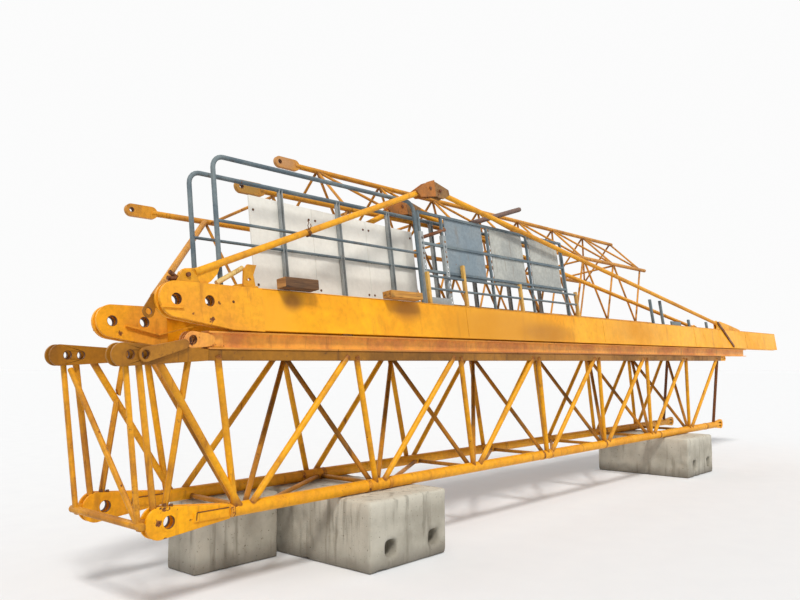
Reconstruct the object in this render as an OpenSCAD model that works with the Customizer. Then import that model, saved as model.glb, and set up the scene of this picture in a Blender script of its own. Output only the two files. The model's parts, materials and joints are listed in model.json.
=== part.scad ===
// Tower crane taken down and stacked for storage. From the ground up it is a row of
// concrete blocks, a four chord lattice section, a carrier beam, the counter-jib with its
// railings, panels, sign plates and folded tie bars, and a light section on timbers.
// X runs along the crane from its pinned root end, Y from the near side to the far side
// and Z up. Stations along X are first counted from the near lower ear's bore.

/* [Lattice section] */
// Length of one bay between panel points
bay = 1620; // [1560:10:1660]
// Number of bays along the upper chords
bays = 7; // [5:1:7]
// Spacing of the near and far upper chords, centre to centre
lattice_w = 960; // [940:10:1100]
// How far the lower chords stand to the far side of the upper ones, as the section leans
lower_shift = 110; // [60:10:140]
// Height from the lower chord axis to the upper chord axis
lattice_h = 1250; // [1100:25:1400]
// Station of the first upper panel point
first_panel = 310; // [290:10:340]
// Station of the second upper panel point, one short bay further on
second_panel = 1830; // [1780:10:1860]
// How far each lower panel point stands towards the tip from the upper one
panel_lean = 510; // [480:10:560]
// Outer diameter of the round lower chords
lower_chord_d = 114; // [100:2:140]
// Width of the box upper chords
upper_chord_w = 100; // [90:5:120]
// Depth of the box upper chords
upper_chord_h = 90; // [80:5:110]
// Outer diameter of the side lattice tubes
side_tube_d = 57; // [48:1:64]
// Outer diameter of the inclined lattice tubes
inclined_tube_d = 51; // [42:1:57]
// Outer diameter of the top and bottom lattice tubes
plan_tube_d = 45; // [38:1:50]
// Height of the concrete blocks under the lower chords
block_h = 640; // [500:20:800]
// Length of the long concrete blocks, across the crane
block_w = 1600; // [1500:20:1700]
// Width of the long concrete blocks, along the crane
block_l = 1110; // [1000:10:1200]
// Size of the square lifting pockets in the long blocks
pocket_s = 150; // [120:5:180]

/* [Lattice ears] */
// Bore diameter of the lower ears
lower_bore_d = 100; // [80:2:110]
// Radius of the lower ears' round ends
lower_ear_r = 122; // [110:2:136]
// How far the lower ears' round end is centred past the bore
lower_ear_reach = 72; // [60:2:90]
// Station where the lower ears end at the chord tube
lower_ear_l = 554; // [480:10:640]
// Bore diameter of the upper ears
upper_bore_d = 70; // [56:2:76]
// Radius of the upper ears' round ends
upper_ear_r = 85; // [76:1:100]
// Distance between the two bores of an upper ear
upper_bore_step = 110; // [100:2:130]
// How far the upper ears' round end is centred past the outer bore
upper_ear_reach = 59; // [30:1:70]
// Station of the outer bore of the upper ears
upper_bore_x = -412; // [-440:4:-380]
// Station where the upper ears end at the chord
upper_ear_end = 244; // [200:4:260]
// Thickness of the ear plates
ear_plate_t = 22; // [16:1:26]
// Clear gap between the two plates of an ear
ear_gap = 50; // [40:2:60]

/* [Carrier beam] */
// Depth of the beam that lies on the near upper chord
beam_h = 142; // [120:2:160]
// Width of the beam's flanges
beam_w = 120; // [100:5:140]
// Thickness of the beam's flanges
beam_flange_t = 14; // [10:1:18]
// Thickness of the beam's web
beam_web_t = 10; // [8:1:14]
// How far the beam's fork reaches past the near upper chord's root end
beam_fork_l = 200; // [160:10:240]
// Station of the beam's tip end
beam_end = 13170; // [12800:50:13400]
// Bore diameter of the beam's fork
beam_pin_d = 64; // [56:2:70]
// Thickness of the packer plates on the far upper chord
packer_t = 12; // [8:1:20]

/* [Counter jib] */
// Depth of the plate girders
girder_h = 360; // [320:10:420]
// Overall width across the two girders
girder_w = 1040; // [1020:10:1060]
// Width of the girders' flanges
flange_w = 110; // [90:5:130]
// Thickness of the girders' flanges
flange_t = 14; // [10:1:18]
// Thickness of the girders' webs
web_t = 14; // [10:1:20]
// Station where the girders' full depth begins
girder_start = 460; // [420:10:560]
// Station of the girders' tip end
girder_end = 15260; // [14800:20:15400]
// How far the near girder's outer face overhangs the near chord axis
girder_overhang = 80; // [70:5:100]
// Bore diameter of the girder ears
girder_bore_d = 90; // [76:2:96]
// Radius of the girder ears' round ends
girder_ear_r = 140; // [130:2:150]
// Station of the outer bore of the girder ears
girder_bore_x = -53; // [-70:2:-40]
// Distance between the two bores of a girder ear
girder_bore_step = 295; // [280:5:310]
// Overall thickness of a girder ear, across both plates
girder_ear_t = 84; // [76:2:90]
// Number of cross beams between the girders
cross_beams = 9; // [7:1:11]
// Size of the square cross beams
cross_beam_s = 80; // [60:5:100]
// Thickness of the deck plates
deck_t = 6; // [4:1:8]

/* [Railings and panels] */
// Height of the near railing above the girders
rail_h = 1130; // [1000:10:1160]
// Height of the inner railing above the girders
inner_rail_h = 1060; // [1000:10:1100]
// Diameter of the railing tubes
rail_d = 42; // [34:1:48]
// Radius of the bent corners of the railings
rail_bend_r = 110; // [90:5:160]
// Station of the near railing's first post
near_rail_x = 420; // [400:10:460]
// Length of the near railing's tall frame
near_rail_l = 2580; // [2400:20:2640]
// Station of the inner railing's first post
inner_rail_x = 360; // [350:10:400]
// Distance of the inner railing from the near girder's outer face
inner_rail_v = 350; // [320:5:370]
// Height of the low rail in front of the sign plates
low_rail_h = 330; // [300:10:360]
// Station where the low rails end
low_rail_end = 6400; // [6200:50:7000]
// Size of the inner railing's square posts
inner_post_s = 40; // [34:1:46]
// Post spacing of the inner railing
inner_post_step = 750; // [740:5:790]
// Number of upright posts of the inner railing
inner_posts = 8; // [5:1:8]
// Height of the white panels
panel_h = 800; // [700:10:840]
// Length of each white panel
panel_l = 756; // [700:4:764]
// Number of white panels
panel_count = 3; // [2:1:3]
// Thickness of the white panels
panel_t = 22; // [16:1:30]
// Height of the sign plates
sign_h = 700; // [620:10:720]
// Width of each sign plate
sign_w = 720; // [640:10:740]
// Clear gap between the sign plates
sign_gap = 175; // [120:5:200]
// Number of sign plates
sign_count = 3; // [2:1:3]

/* [Tie bars] */
// Diameter of the tie bars
tie_d = 60; // [50:1:64]
// Station of the tie bars' root brackets
tie_root_x = 60; // [50:5:80]
// Station of the tie bars' apex
tie_apex_x = 3300; // [3200:20:3400]
// Height of the tie bars' apex above the girders
tie_apex_h = 1300; // [1240:10:1340]
// How much lower the inner tie bars' apex lies
inner_apex_drop = 90; // [60:5:120]
// Station of the tie bars' tip brackets
tie_tip_x = 11700; // [11200:50:12200]
// Station of the inner tie bars' root bracket
inner_root_x = 850; // [830:10:900]
// Distance of the inner pair from the near girder's outer face
inner_tie_v = 460; // [440:5:480]
// Diameter of the tie bars' pins
tie_pin_d = 36; // [30:1:40]

/* [Light section] */
// Length of one bay of the light section
light_bay = 1050; // [950:10:1100]
// Number of bays of the light section
light_bays = 8; // [5:1:8]
// Spacing of the near and far chords of the light section
light_w = 1100; // [1000:20:1200]
// Height from the bottom chords to the side chords
light_box_h = 980; // [900:10:1000]
// Height from the side chords to the ridge chord
light_ridge_h = 620; // [520:10:680]
// Distance of the near chords from the near girder's outer face
light_v = 560; // [550:5:600]
// Diameter of the light section's chords
light_chord_d = 60; // [54:1:64]
// Diameter of the light section's lattice tubes
light_tube_d = 32; // [26:1:38]
// Station of the light section's first panel point
light_first = 1420; // [1400:10:1500]
// Station of the near side chord's eye
near_eye_x = 1060; // [960:10:1100]
// Station of the far side chord's eye
far_eye_x = 570; // [540:10:640]
// Station of the ridge chord's eye
ridge_eye_x = 2040; // [1960:10:2100]
// Thickness of the eye plates
eye_t = 40; // [30:1:50]
// Height of the cross timbers that carry the light section
timber_s = 100; // [80:5:120]

/* [Hidden] */
$fn = 48;

crane_yellow = [0.95, 0.66, 0.13];
old_yellow = [0.86, 0.58, 0.16];
faded_orange = [0.86, 0.52, 0.25];
rail_blue = [0.32, 0.39, 0.44];
panel_white = [0.90, 0.90, 0.86];
sign_grey = [0.55, 0.57, 0.58];
rust = [0.48, 0.30, 0.18];
concrete_grey = [0.62, 0.60, 0.56];
timber_brown = [0.45, 0.32, 0.20];

// Levels of the lattice section
lower_z = block_h + lower_chord_d / 2;
upper_z = lower_z + lattice_h;
upper_bottom = upper_z - upper_chord_h / 2;
upper_top = upper_z + upper_chord_h / 2;
beam_top = upper_top + beam_h;

// Stations of the lattice section
last_panel = second_panel + (bays - 1) * bay;
chord_end = last_panel + 160;
ear_w = ear_gap + 2 * ear_plate_t;

// The counter-jib leans to the far side, because only its near girder lies on the beam
roll = asin((beam_h - packer_t) / (girder_w - flange_w));
girder_z = beam_top + flange_w * sin(roll);
eye_hole_d = 50;
eye_r = 62;
eye_l = 220;

// Overall extents, which place the origin under the middle of the stack
x_low = upper_bore_x - upper_ear_reach - upper_ear_r;
x_high = girder_end + 20;
near_reach = 300;
long_block_x = [1810, 9300];
short_block_x = 760;
short_block_l = 940;
short_block_w = 460;
light_side_h = girder_h + timber_s + light_chord_d / 2 + light_box_h;
far_eye_y = -girder_overhang + (light_v + light_w) * cos(roll) + light_side_h * sin(roll);
y_low = -near_reach;
y_high = far_eye_y + light_chord_d / 2;
x_mid = (x_low + x_high) / 2;
y_mid = (y_low + y_high) / 2;

near_low_y = lower_shift;
far_low_y = lattice_w + lower_shift;

function upper_panel(i) = i == 0 ? first_panel : second_panel + (i - 1) * bay;
function lower_panel(i) = second_panel + (i - 1) * bay + panel_lean;
function light_panel(i) = light_first + i * light_bay;
light_end = light_panel(light_bays) + 200;

// Placing

module crane() {
    translate([-x_mid, -y_mid, 0]) children();
}

module on_jib() {
    crane() translate([0, -girder_overhang, girder_z]) rotate([-roll, 0, 0]) children();
}

// Common shapes

module bar(p, q, d, sides = 8) {
    run = q - p;
    long = norm(run);
    translate(p)
        rotate([0, acos(run.z / long), atan2(run.y, run.x)])
            cylinder(h = long, d = d, $fn = sides);
}

module tube_x(x0, x1, y, z, d) {
    translate([x0, y, z]) rotate([0, 90, 0]) cylinder(h = x1 - x0, d = d);
}

module hole_y(x, y0, y1, z, d) {
    translate([x, y0, z]) rotate([-90, 0, 0]) cylinder(h = y1 - y0, d = d);
}

// A plate in the XZ plane, from y0 to y1, from a two-dimensional outline
module plate_y(y0, y1) {
    translate([0, y1, 0]) rotate([90, 0, 0]) linear_extrude(y1 - y0) children();
}

// Outline of an ear: a round end of radius r at the origin, running tangent to a
// straight end of height h at distance l
module ear_outline(r, l, h) {
    turn = atan2(h / 2, l) + acos(r / norm([l, h / 2]));
    circle(r = r);
    polygon([[r * cos(turn), r * sin(turn)], [l, h / 2], [l, -h / 2],
        [r * cos(turn), -r * sin(turn)]]);
}

// Lattice section

module lower_chord(y) {
    color(crane_yellow) crane() {
        tube_x(lower_ear_l, chord_end, y, lower_z, lower_chord_d);
    }
}

module upper_chord(y) {
    color(crane_yellow) crane() {
        translate([upper_ear_end, y - upper_chord_w / 2, upper_bottom])
            cube([chord_end - upper_ear_end, upper_chord_w, upper_chord_h]);
    }
}

// Two plates with a round end, a bore through both, and a boss block at the chord
module lower_ear(y) {
    color(crane_yellow) crane() translate([0, y, lower_z]) difference() {
        union() {
            for (side = [0, 1])
                plate_y(-ear_w / 2 + side * (ear_w - ear_plate_t),
                    -ear_w / 2 + ear_plate_t + side * (ear_w - ear_plate_t))
                    translate([-lower_ear_reach, 0])
                        ear_outline(lower_ear_r, lower_ear_l + lower_ear_reach,
                            lower_chord_d);
            translate([lower_ear_r + 40, -ear_w / 2, -lower_chord_d / 2])
                cube([lower_ear_l - lower_ear_r - 40, ear_w, lower_chord_d]);
            translate([lower_ear_r + 90, -ear_w / 2 - 12, -36])
                cube([lower_ear_l - lower_ear_r - 110, ear_w + 24, 72]);
        }
        hole_y(0, -ear_w, ear_w, 0, lower_bore_d);
    }
}

module upper_ear(y) {
    tip = upper_bore_x - upper_ear_reach;
    color(crane_yellow) crane() translate([0, y, upper_z]) difference() {
        union() {
            for (side = [0, 1])
                plate_y(-ear_w / 2 + side * (ear_w - ear_plate_t),
                    -ear_w / 2 + ear_plate_t + side * (ear_w - ear_plate_t))
                    translate([tip, 0])
                        ear_outline(upper_ear_r, upper_ear_end - tip, upper_chord_h);
            translate([upper_bore_x + upper_bore_step + 90, -ear_w / 2, -upper_chord_h / 2])
                cube([upper_ear_end - upper_bore_x - upper_bore_step - 90, ear_w,
                    upper_chord_h]);
        }
        for (i = [0, 1])
            hole_y(upper_bore_x + i * upper_bore_step, -ear_w, ear_w, 0, upper_bore_d);
    }
}

// Single tongue plates on the tip ends of the four chords
module tip_tongue(r, bore_d, chord_h) {
    tongue_l = 300;
    difference() {
        plate_y(-ear_gap / 2 + 2, ear_gap / 2 - 2)
            translate([tongue_l, 0]) mirror([1, 0]) ear_outline(r, tongue_l, chord_h);
        hole_y(tongue_l, -ear_gap, ear_gap, 0, bore_d);
    }
}

module tip_end_ears() {
    color(crane_yellow) crane() {
        for (y = [near_low_y, far_low_y])
            translate([chord_end, y, lower_z])
                tip_tongue(upper_ear_r, upper_bore_d, lower_chord_d);
        for (y = [0, lattice_w])
            translate([chord_end, y, upper_z])
                tip_tongue(upper_chord_h / 2 - 1, upper_chord_h / 2, upper_chord_h - 2);
    }
}

module lower_chord_cut(y) {
    tube_x(0, chord_end + 10, y, lower_z, lower_chord_d);
}

module upper_chord_cut(y) {
    translate([0, y - upper_chord_w / 2, upper_bottom])
        cube([chord_end + 10, upper_chord_w, upper_chord_h]);
}

// The tube from the upper ear down to the first lower panel point
module first_side_tube(y, low_y) {
    bar([upper_bore_x + upper_bore_step + 112, y, upper_z], [lower_panel(0), low_y, lower_z],
        side_tube_d);
}

// Posts and diagonals of one side, coped to both chords and the upper ear
module side_lattice(y, low_y) {
    color(crane_yellow) crane() difference() {
        union() {
            first_side_tube(y, low_y);
            for (i = [0 : bays - 1]) {
                low = [lower_panel(i), low_y, lower_z];
                bar([upper_panel(i), y, upper_z], low, side_tube_d);
                bar(low, [upper_panel(i + 1), y, upper_z], side_tube_d);
            }
        }
        upper_ear_cut(y);
        lower_chord_cut(low_y);
        upper_chord_cut(y);
    }
}

// Bars in the plane from the near lower chord to the far upper chord
module inclined_lattice() {
    near_y = near_low_y + 34;
    far_y = lattice_w - 33;
    color(old_yellow) crane() difference() {
        for (i = [0 : bays - 1]) {
            bar([lower_panel(i), near_y, lower_z - 8], [upper_panel(i), far_y, upper_z],
                inclined_tube_d);
            bar([lower_panel(i), near_y, lower_z - 8],
                [upper_panel(i + 1), far_y, upper_z], inclined_tube_d);
        }
        lower_chord_cut(near_low_y);
        upper_chord_cut(lattice_w);
    }
}

// Straight and slanting bars between the two lower chords
module bottom_lattice() {
    shift = 110;
    z = lower_z - 20;
    color(old_yellow) crane() difference() {
        for (i = [0 : bays - 1]) {
            x = lower_panel(i) + shift;
            bar([x, near_low_y, z], [x, far_low_y, z], plan_tube_d);
            if (i < bays - 1) bar([x, near_low_y, z], [x + bay, far_low_y, z], plan_tube_d);
        }
        lower_chord_cut(near_low_y);
        lower_chord_cut(far_low_y);
    }
}

// Straight and slanting bars between the two upper chords
module top_lattice() {
    shift = 110;
    z = upper_z + 15;
    color(old_yellow) crane() difference() {
        for (i = [0 : bays - 1]) {
            x = upper_panel(i) + shift;
            bar([x, 0, z], [x, lattice_w, z], plan_tube_d);
            bar([x, lattice_w, z], [x + bay, 0, z], plan_tube_d);
        }
        upper_chord_cut(0);
        upper_chord_cut(lattice_w);
    }
}

// Space that an upper ear takes, its gap included
module upper_ear_cut(y) {
    translate([0, y, upper_z]) plate_y(-ear_w / 2, ear_w / 2)
        translate([upper_bore_x - upper_ear_reach, 0])
            ear_outline(upper_ear_r, upper_ear_end - upper_bore_x + upper_ear_reach,
                upper_chord_h);
}

// Space that a lower ear takes, its gap included
module lower_ear_cut(y) {
    translate([0, y, lower_z]) plate_y(-ear_w / 2, ear_w / 2)
        translate([-lower_ear_reach, 0])
            ear_outline(lower_ear_r, lower_ear_l + lower_ear_reach, lower_chord_d);
}

third_post_step = 400;

// Three end posts a side between the upper and the lower ears, a slanting bar, and the
// cross tube with the tongues that are welded into the lower ears' gaps
module root_end_frame() {
    tube_d = 60;
    tongue_l = 130;
    corner_x = -lower_ear_reach - lower_ear_r - tube_d / 2 - 5;
    inner_x = upper_bore_x + upper_bore_step;
    post_tops = [upper_bore_x - 20, inner_x - 28, inner_x + third_post_step];
    post_feet = [corner_x, -93, -28];
    color(old_yellow) crane() {
        difference() {
            union() {
                for (side = [0, 1], i = [0 : 2])
                    bar([post_tops[i], side * lattice_w, upper_z],
                        [post_feet[i], side == 0 ? near_low_y : far_low_y, lower_z],
                        i == 0 ? plan_tube_d : inclined_tube_d);
                bar([corner_x, near_low_y, lower_z],
                    [corner_x - 150, lattice_w - 30, upper_z - 110], plan_tube_d);
            }
            for (y = [0, lattice_w]) upper_ear_cut(y);
            for (y = [near_low_y, far_low_y]) lower_ear_cut(y);
            first_side_tube(0, near_low_y);
            first_side_tube(lattice_w, far_low_y);
        }
        bar([corner_x, near_low_y - 60, lower_z], [corner_x, far_low_y + 60, lower_z],
            tube_d, 12);
        for (y = [near_low_y, far_low_y])
            translate([corner_x, y - ear_gap / 2, lower_z - 40])
                cube([tongue_l, ear_gap, 80]);
    }
}

// End posts at the tip end of the lattice section
module tip_end_frame() {
    x = last_panel + 90;
    color(old_yellow) crane() difference() {
        bar([x, 0, upper_z], [x, near_low_y, lower_z], side_tube_d);
        lower_chord_cut(near_low_y);
        upper_chord_cut(0);
    }
    color(old_yellow) crane() difference() {
        bar([x, lattice_w, upper_z], [x, far_low_y, lower_z], side_tube_d);
        lower_chord_cut(far_low_y);
        upper_chord_cut(lattice_w);
    }
}

// Carrier beam

module beam_section() {
    for (z = [0, beam_h - beam_flange_t])
        translate([-beam_w / 2, z]) square([beam_w, beam_flange_t]);
    translate([-beam_web_t / 2, 0]) square([beam_web_t, beam_h]);
}

// An I section with two round ended fork plates welded to its web at the root end
module carrier_beam() {
    fork_t = 20;
    fork_weld_l = 150;
    fork_r = beam_h / 2 - beam_flange_t;
    start = upper_ear_end;
    bore_x = start - beam_fork_l + 60;
    color(faded_orange) crane() translate([0, 0, upper_top]) {
        difference() {
            union() {
                translate([start, 0, 0]) rotate([90, 0, 90])
                    linear_extrude(beam_end - start) beam_section();
                for (side = [-1, 1])
                    translate([bore_x, side * (beam_web_t / 2 + fork_t / 2), beam_h / 2])
                        plate_y(-fork_t / 2, fork_t / 2) {
                            circle(r = fork_r);
                            translate([0, -fork_r])
                                square([start + fork_weld_l - bore_x, 2 * fork_r]);
                        }
            }
            hole_y(bore_x, -beam_w, beam_w, beam_h / 2, beam_pin_d);
        }
    }
}

// Plates that pack the far girder up from the far chord
module packer_plates() {
    far_edge = -girder_overhang + girder_w * cos(roll);
    color(rust) crane() {
        for (i = [0 : bays - 1])
            translate([upper_panel(i) + bay / 2 - 90, far_edge - 70, upper_top])
                cube([180, 90, packer_t]);
    }
}

// Counter-jib girders

module girder_section() {
    for (z = [0, girder_h - flange_t])
        translate([0, z]) square([flange_w, flange_t]);
    square([web_t, girder_h]);
}

module girder_end_plate() {
    translate([girder_end, 0, 0]) cube([20, flange_w, girder_h]);
}

module girder() {
    translate([girder_start, 0, 0]) rotate([90, 0, 90])
        linear_extrude(girder_end - girder_start) girder_section();
    girder_end_plate();
}

module near_girder() {
    color(crane_yellow) on_jib() girder();
}

module far_girder() {
    color(crane_yellow) on_jib() translate([0, girder_w, 0]) mirror([0, 1, 0]) girder();
}

// Outline of a girder ear: its top edge is level, its lower edge rises to the round end
module girder_ear_outline() {
    mid = girder_h - girder_ear_r;
    lower = atan2(mid, girder_start - girder_bore_x);
    run = norm([girder_start - girder_bore_x, mid]);
    turn = -lower - acos(girder_ear_r / run);
    translate([girder_bore_x, mid]) {
        circle(r = girder_ear_r);
        polygon([[0, girder_ear_r], [girder_start - girder_bore_x, girder_ear_r],
            [girder_start - girder_bore_x, -mid],
            [girder_ear_r * cos(turn), girder_ear_r * sin(turn)]]);
    }
}

// Two plates with two bores through both, closed at the back by a diaphragm
module girder_ear() {
    plate_t = 24;
    bore_z = girder_h - girder_ear_r;
    difference() {
        union() {
            plate_y(0, plate_t) girder_ear_outline();
            plate_y(girder_ear_t - plate_t, girder_ear_t) girder_ear_outline();
            translate([girder_start - 20, 0, 0]) cube([20, girder_ear_t, girder_h]);
            translate([girder_bore_x, 0, girder_h - flange_t])
                cube([girder_start - girder_bore_x, girder_ear_t, flange_t]);
        }
        for (i = [0, 1])
            hole_y(girder_bore_x + i * girder_bore_step, -10, girder_ear_t + 10, bore_z,
                girder_bore_d);
    }
}

module near_girder_ear() {
    color(crane_yellow) on_jib() girder_ear();
}

module far_girder_ear() {
    color(crane_yellow) on_jib() translate([0, girder_w, 0]) mirror([0, 1, 0]) girder_ear();
}

function cross_x(i) = girder_start + 240
    + i * (girder_end - girder_start - 480) / (cross_beams - 1);

module girder_cross_beams() {
    color(old_yellow) on_jib() {
        for (i = [0 : cross_beams - 1])
            translate([cross_x(i) - cross_beam_s / 2, web_t, girder_h - flange_t - cross_beam_s])
                cube([cross_beam_s, girder_w - 2 * web_t, cross_beam_s]);
    }
}

module deck_plates() {
    color(old_yellow) on_jib() {
        for (i = [0 : cross_beams - 2])
            translate([cross_x(i) + 10, flange_w + 4, girder_h - flange_t])
                cube([cross_x(1) - cross_x(0) - 20, girder_w - 2 * flange_w - 8, deck_t]);
    }
}

// Railings, panels and sign

// A quarter of a bent tube that joins an upright end to a level top rail
module rail_corner(x, z, v, turn) {
    r = rail_bend_r;
    translate([x, v, z - r]) rotate([90, 0, 0]) rotate([0, 0, turn])
        rotate_extrude(angle = 90) translate([r, 0]) circle(d = rail_d);
}

// A tube frame in the XZ plane with two upright ends and rounded upper corners
module rail_frame(x0, x1, z0, z1, v) {
    r = rail_bend_r;
    for (x = [x0, x1]) translate([x, v, z0]) cylinder(h = z1 - r - z0, d = rail_d);
    rail_corner(x0 + r, z1, v, 90);
    rail_corner(x1 - r, z1, v, 0);
    tube_x(x0 + r, x1 - r, v, z1, rail_d);
}

near_rail_v = 88;
near_rail_end = near_rail_x + near_rail_l;
stub_posts = [3110, 3775, 4950, low_rail_end - 20];
lone_posts = [8900, 9300];

module stub_post(x, h) {
    translate([x - 20, near_rail_v - 20, girder_h]) cube([40, 40, h]);
}

low_rail_step = 140;
stub_rise = 40;
tall_stub_rise = 170;
lone_rise = 90;

// A tall frame at the root end, then low rails on short posts
module near_railing() {
    v = near_rail_v;
    color(rail_blue) on_jib() {
        rail_frame(near_rail_x, near_rail_end, girder_h, girder_h + rail_h, v);
        tube_x(near_rail_x, near_rail_end, v, girder_h + rail_h / 2, 27);
        for (h = [low_rail_h, low_rail_h - low_rail_step])
            tube_x(stub_posts[0], low_rail_end, v, girder_h + h, 27);
        for (i = [0 : len(stub_posts) - 1])
            stub_post(stub_posts[i], low_rail_h + (i == 1 ? tall_stub_rise : stub_rise));
        for (x = lone_posts) stub_post(x, low_rail_h + lone_rise);
    }
}

inner_post_start = 990;
panel_start = 640;
panel_lift = 80;

function inner_post(i) = inner_rail_x + inner_post_start + i * inner_post_step;

module inner_railing() {
    x1 = inner_post(inner_posts - 1) + 40;
    r = rail_bend_r;
    top = girder_h + inner_rail_h;
    foot = deck_top;
    color(rail_blue) on_jib() {
        translate([inner_rail_x, inner_rail_v, foot]) cylinder(h = top - r - foot, d = rail_d);
        rail_corner(inner_rail_x + r, top, inner_rail_v, 90);
        tube_x(inner_rail_x + r, x1, inner_rail_v, top, rail_d);
        tube_x(inner_rail_x, x1, inner_rail_v, girder_h + inner_rail_h * 0.45, 27);
        for (i = [0 : inner_posts - 1])
            translate([inner_post(i) - inner_post_s / 2, inner_rail_v - inner_post_s / 2, foot])
                cube([inner_post_s, inner_post_s, top - foot]);
    }
}

module white_panels() {
    color(panel_white) on_jib() {
        for (i = [0 : panel_count - 1])
            translate([inner_rail_x + panel_start + i * (panel_l + 4),
                inner_rail_v + inner_post_s / 2, girder_h + panel_lift])
                cube([panel_l, panel_t, panel_h]);
    }
}

frame_bar_s = 30;
sign_start = 580;
sign_x = near_rail_end + sign_start;
sign_l = sign_count * (sign_w + sign_gap) - sign_gap;
sign_foot = girder_h + low_rail_h + 10;
sign_frame_v = near_rail_v + rail_d / 2;

// Upright and level bars on the far side of the near railing
module sign_frame() {
    run_in = 490;
    color(rail_blue) on_jib() {
        for (z = [sign_foot + 40, sign_foot + sign_h / 2, sign_foot + sign_h])
            translate([sign_x - run_in, sign_frame_v, z])
                cube([sign_l + run_in + sign_gap / 2, frame_bar_s, frame_bar_s]);
        for (x = [sign_x - run_in,
                for (i = [0 : sign_count]) sign_x + i * (sign_w + sign_gap) - sign_gap / 2])
            translate([x, sign_frame_v, girder_h])
                cube([frame_bar_s, frame_bar_s, low_rail_h + sign_h + 40]);
    }
}

module sign_plates() {
    color(sign_grey) on_jib() {
        for (i = [0 : sign_count - 1])
            translate([sign_x + i * (sign_w + sign_gap), sign_frame_v + frame_bar_s, sign_foot])
                cube([sign_w, 6, sign_h + 20]);
    }
}

// Tie bars, folded down on the counter-jib

tie_v = 32;
root_pin_h = 55;
tip_pin_h = 110;
tie_eye_r = 55;
tie_eye_l = 110;
tie_eye_t = 30;

// A round bar with a flat eye at each end, between two pins in one upright plane
module tie_link(x0, z0, x1, z1, v) {
    long = norm([x1 - x0, z1 - z0]);
    translate([x0, v, z0]) rotate([0, -atan2(z1 - z0, x1 - x0), 0]) difference() {
        union() {
            tube_x(tie_eye_l - 25, long - tie_eye_l + 25, 0, 0, tie_d);
            plate_y(-tie_eye_t / 2, tie_eye_t / 2) {
                ear_outline(tie_eye_r, tie_eye_l, tie_d - 6);
                translate([long, 0]) mirror([1, 0])
                    ear_outline(tie_eye_r, tie_eye_l, tie_d - 6);
            }
        }
        for (x = [0, long]) hole_y(x, -tie_eye_t, tie_eye_t, 0, tie_pin_d + 2);
    }
}

inner_apex_h = tie_apex_h - inner_apex_drop;
deck_top = girder_h - flange_t + deck_t;

module near_short_tie() {
    color(crane_yellow) on_jib()
        tie_link(tie_root_x, girder_h + root_pin_h,
            tie_apex_x - apex_half, girder_h + tie_apex_h, tie_v);
}

module near_long_tie() {
    color(crane_yellow) on_jib()
        tie_link(tie_apex_x + apex_half, girder_h + tie_apex_h,
            tie_tip_x, girder_h + tip_pin_h, tie_v);
}

module inner_short_tie() {
    color(crane_yellow) on_jib()
        tie_link(inner_root_x, deck_top + root_pin_h + 30,
            tie_apex_x - apex_half, girder_h + inner_apex_h, inner_tie_v);
}

module inner_long_tie() {
    color(crane_yellow) on_jib()
        tie_link(tie_apex_x + apex_half, girder_h + inner_apex_h,
            tie_tip_x, deck_top + tip_pin_h, inner_tie_v);
}

apex_half = 90;
plate_gap = tie_eye_t + 2;

// Two plates and two pins that join a short and a long tie bar
module apex_link(h, v) {
    plate_t = 12;
    plate_r = 75;
    for (side = [0, 1])
        translate([0, v - plate_gap / 2 - plate_t + side * (plate_gap + plate_t), 0])
            plate_y(0, plate_t) translate([tie_apex_x, girder_h + h]) {
                for (x = [-apex_half, apex_half]) translate([x, 0]) circle(r = plate_r);
                translate([-apex_half, -plate_r]) square([2 * apex_half, 2 * plate_r]);
            }
    for (x = [tie_apex_x - apex_half, tie_apex_x + apex_half])
        hole_y(x, v - 36, v + 36, girder_h + h, tie_pin_d);
}

module tie_apex_links() {
    color(rust) on_jib() {
        apex_link(tie_apex_h, tie_v);
        apex_link(inner_apex_h, inner_tie_v);
    }
}

// Two plates that stand on the girder or the deck, with the pin between them
module tie_bracket(x, foot, h, v) {
    plate_t = 14;
    for (side = [0, 1])
        translate([0, v - plate_gap / 2 - plate_t + side * (plate_gap + plate_t), 0])
            plate_y(0, plate_t) translate([x, foot])
                polygon([[-110, 0], [110, 0], [50, h + 50], [-50, h + 50]]);
    hole_y(x, v - 36, v + 36, foot + h, tie_pin_d);
}

// A flat link that leads the near tie on to a pin low on the girder's outer face
module tip_link() {
    link_l = 660;
    link_r = 45;
    link_t = 20;
    low_h = 40;
    plate_y(-link_t, 0) {
        for (p = [[tie_tip_x, girder_h + tip_pin_h], [tie_tip_x + link_l, low_h]])
            translate(p) circle(r = link_r);
        run = [link_l, low_h - girder_h - tip_pin_h];
        side = [-run.y, run.x] * link_r / norm(run);
        a = [tie_tip_x, girder_h + tip_pin_h];
        polygon([a + side, a + run + side, a + run - side, a - side]);
    }
    hole_y(tie_tip_x, -30, 0, girder_h + tip_pin_h, tie_pin_d);
    hole_y(tie_tip_x + link_l, -30, 0, low_h, tie_pin_d);
}

// An upright lug with a hole, welded to the near girder for a rigging pin
module rigging_lug() {
    x = 660;
    h = 200;
    t = 24;
    translate([0, tie_v - t / 2, 0]) difference() {
        plate_y(0, t) translate([x, girder_h]) union() {
            polygon([[-60, 14], [60, 14], [45, 110], [70, h], [-70, h], [-45, 110]]);
            translate([-75, 0]) square([150, 14]);
        }
        hole_y(x, -5, t + 5, girder_h + 70, 30);
    }
}

module tie_brackets() {
    color(rust) on_jib() {
        tie_bracket(tie_root_x, girder_h, root_pin_h, tie_v);
        tie_bracket(tie_tip_x, girder_h, tip_pin_h, tie_v);
        tie_bracket(inner_root_x, deck_top, root_pin_h + 30, inner_tie_v);
        tie_bracket(tie_tip_x, deck_top, tip_pin_h, inner_tie_v);
        tip_link();
        rigging_lug();
    }
}

// Light section

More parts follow.
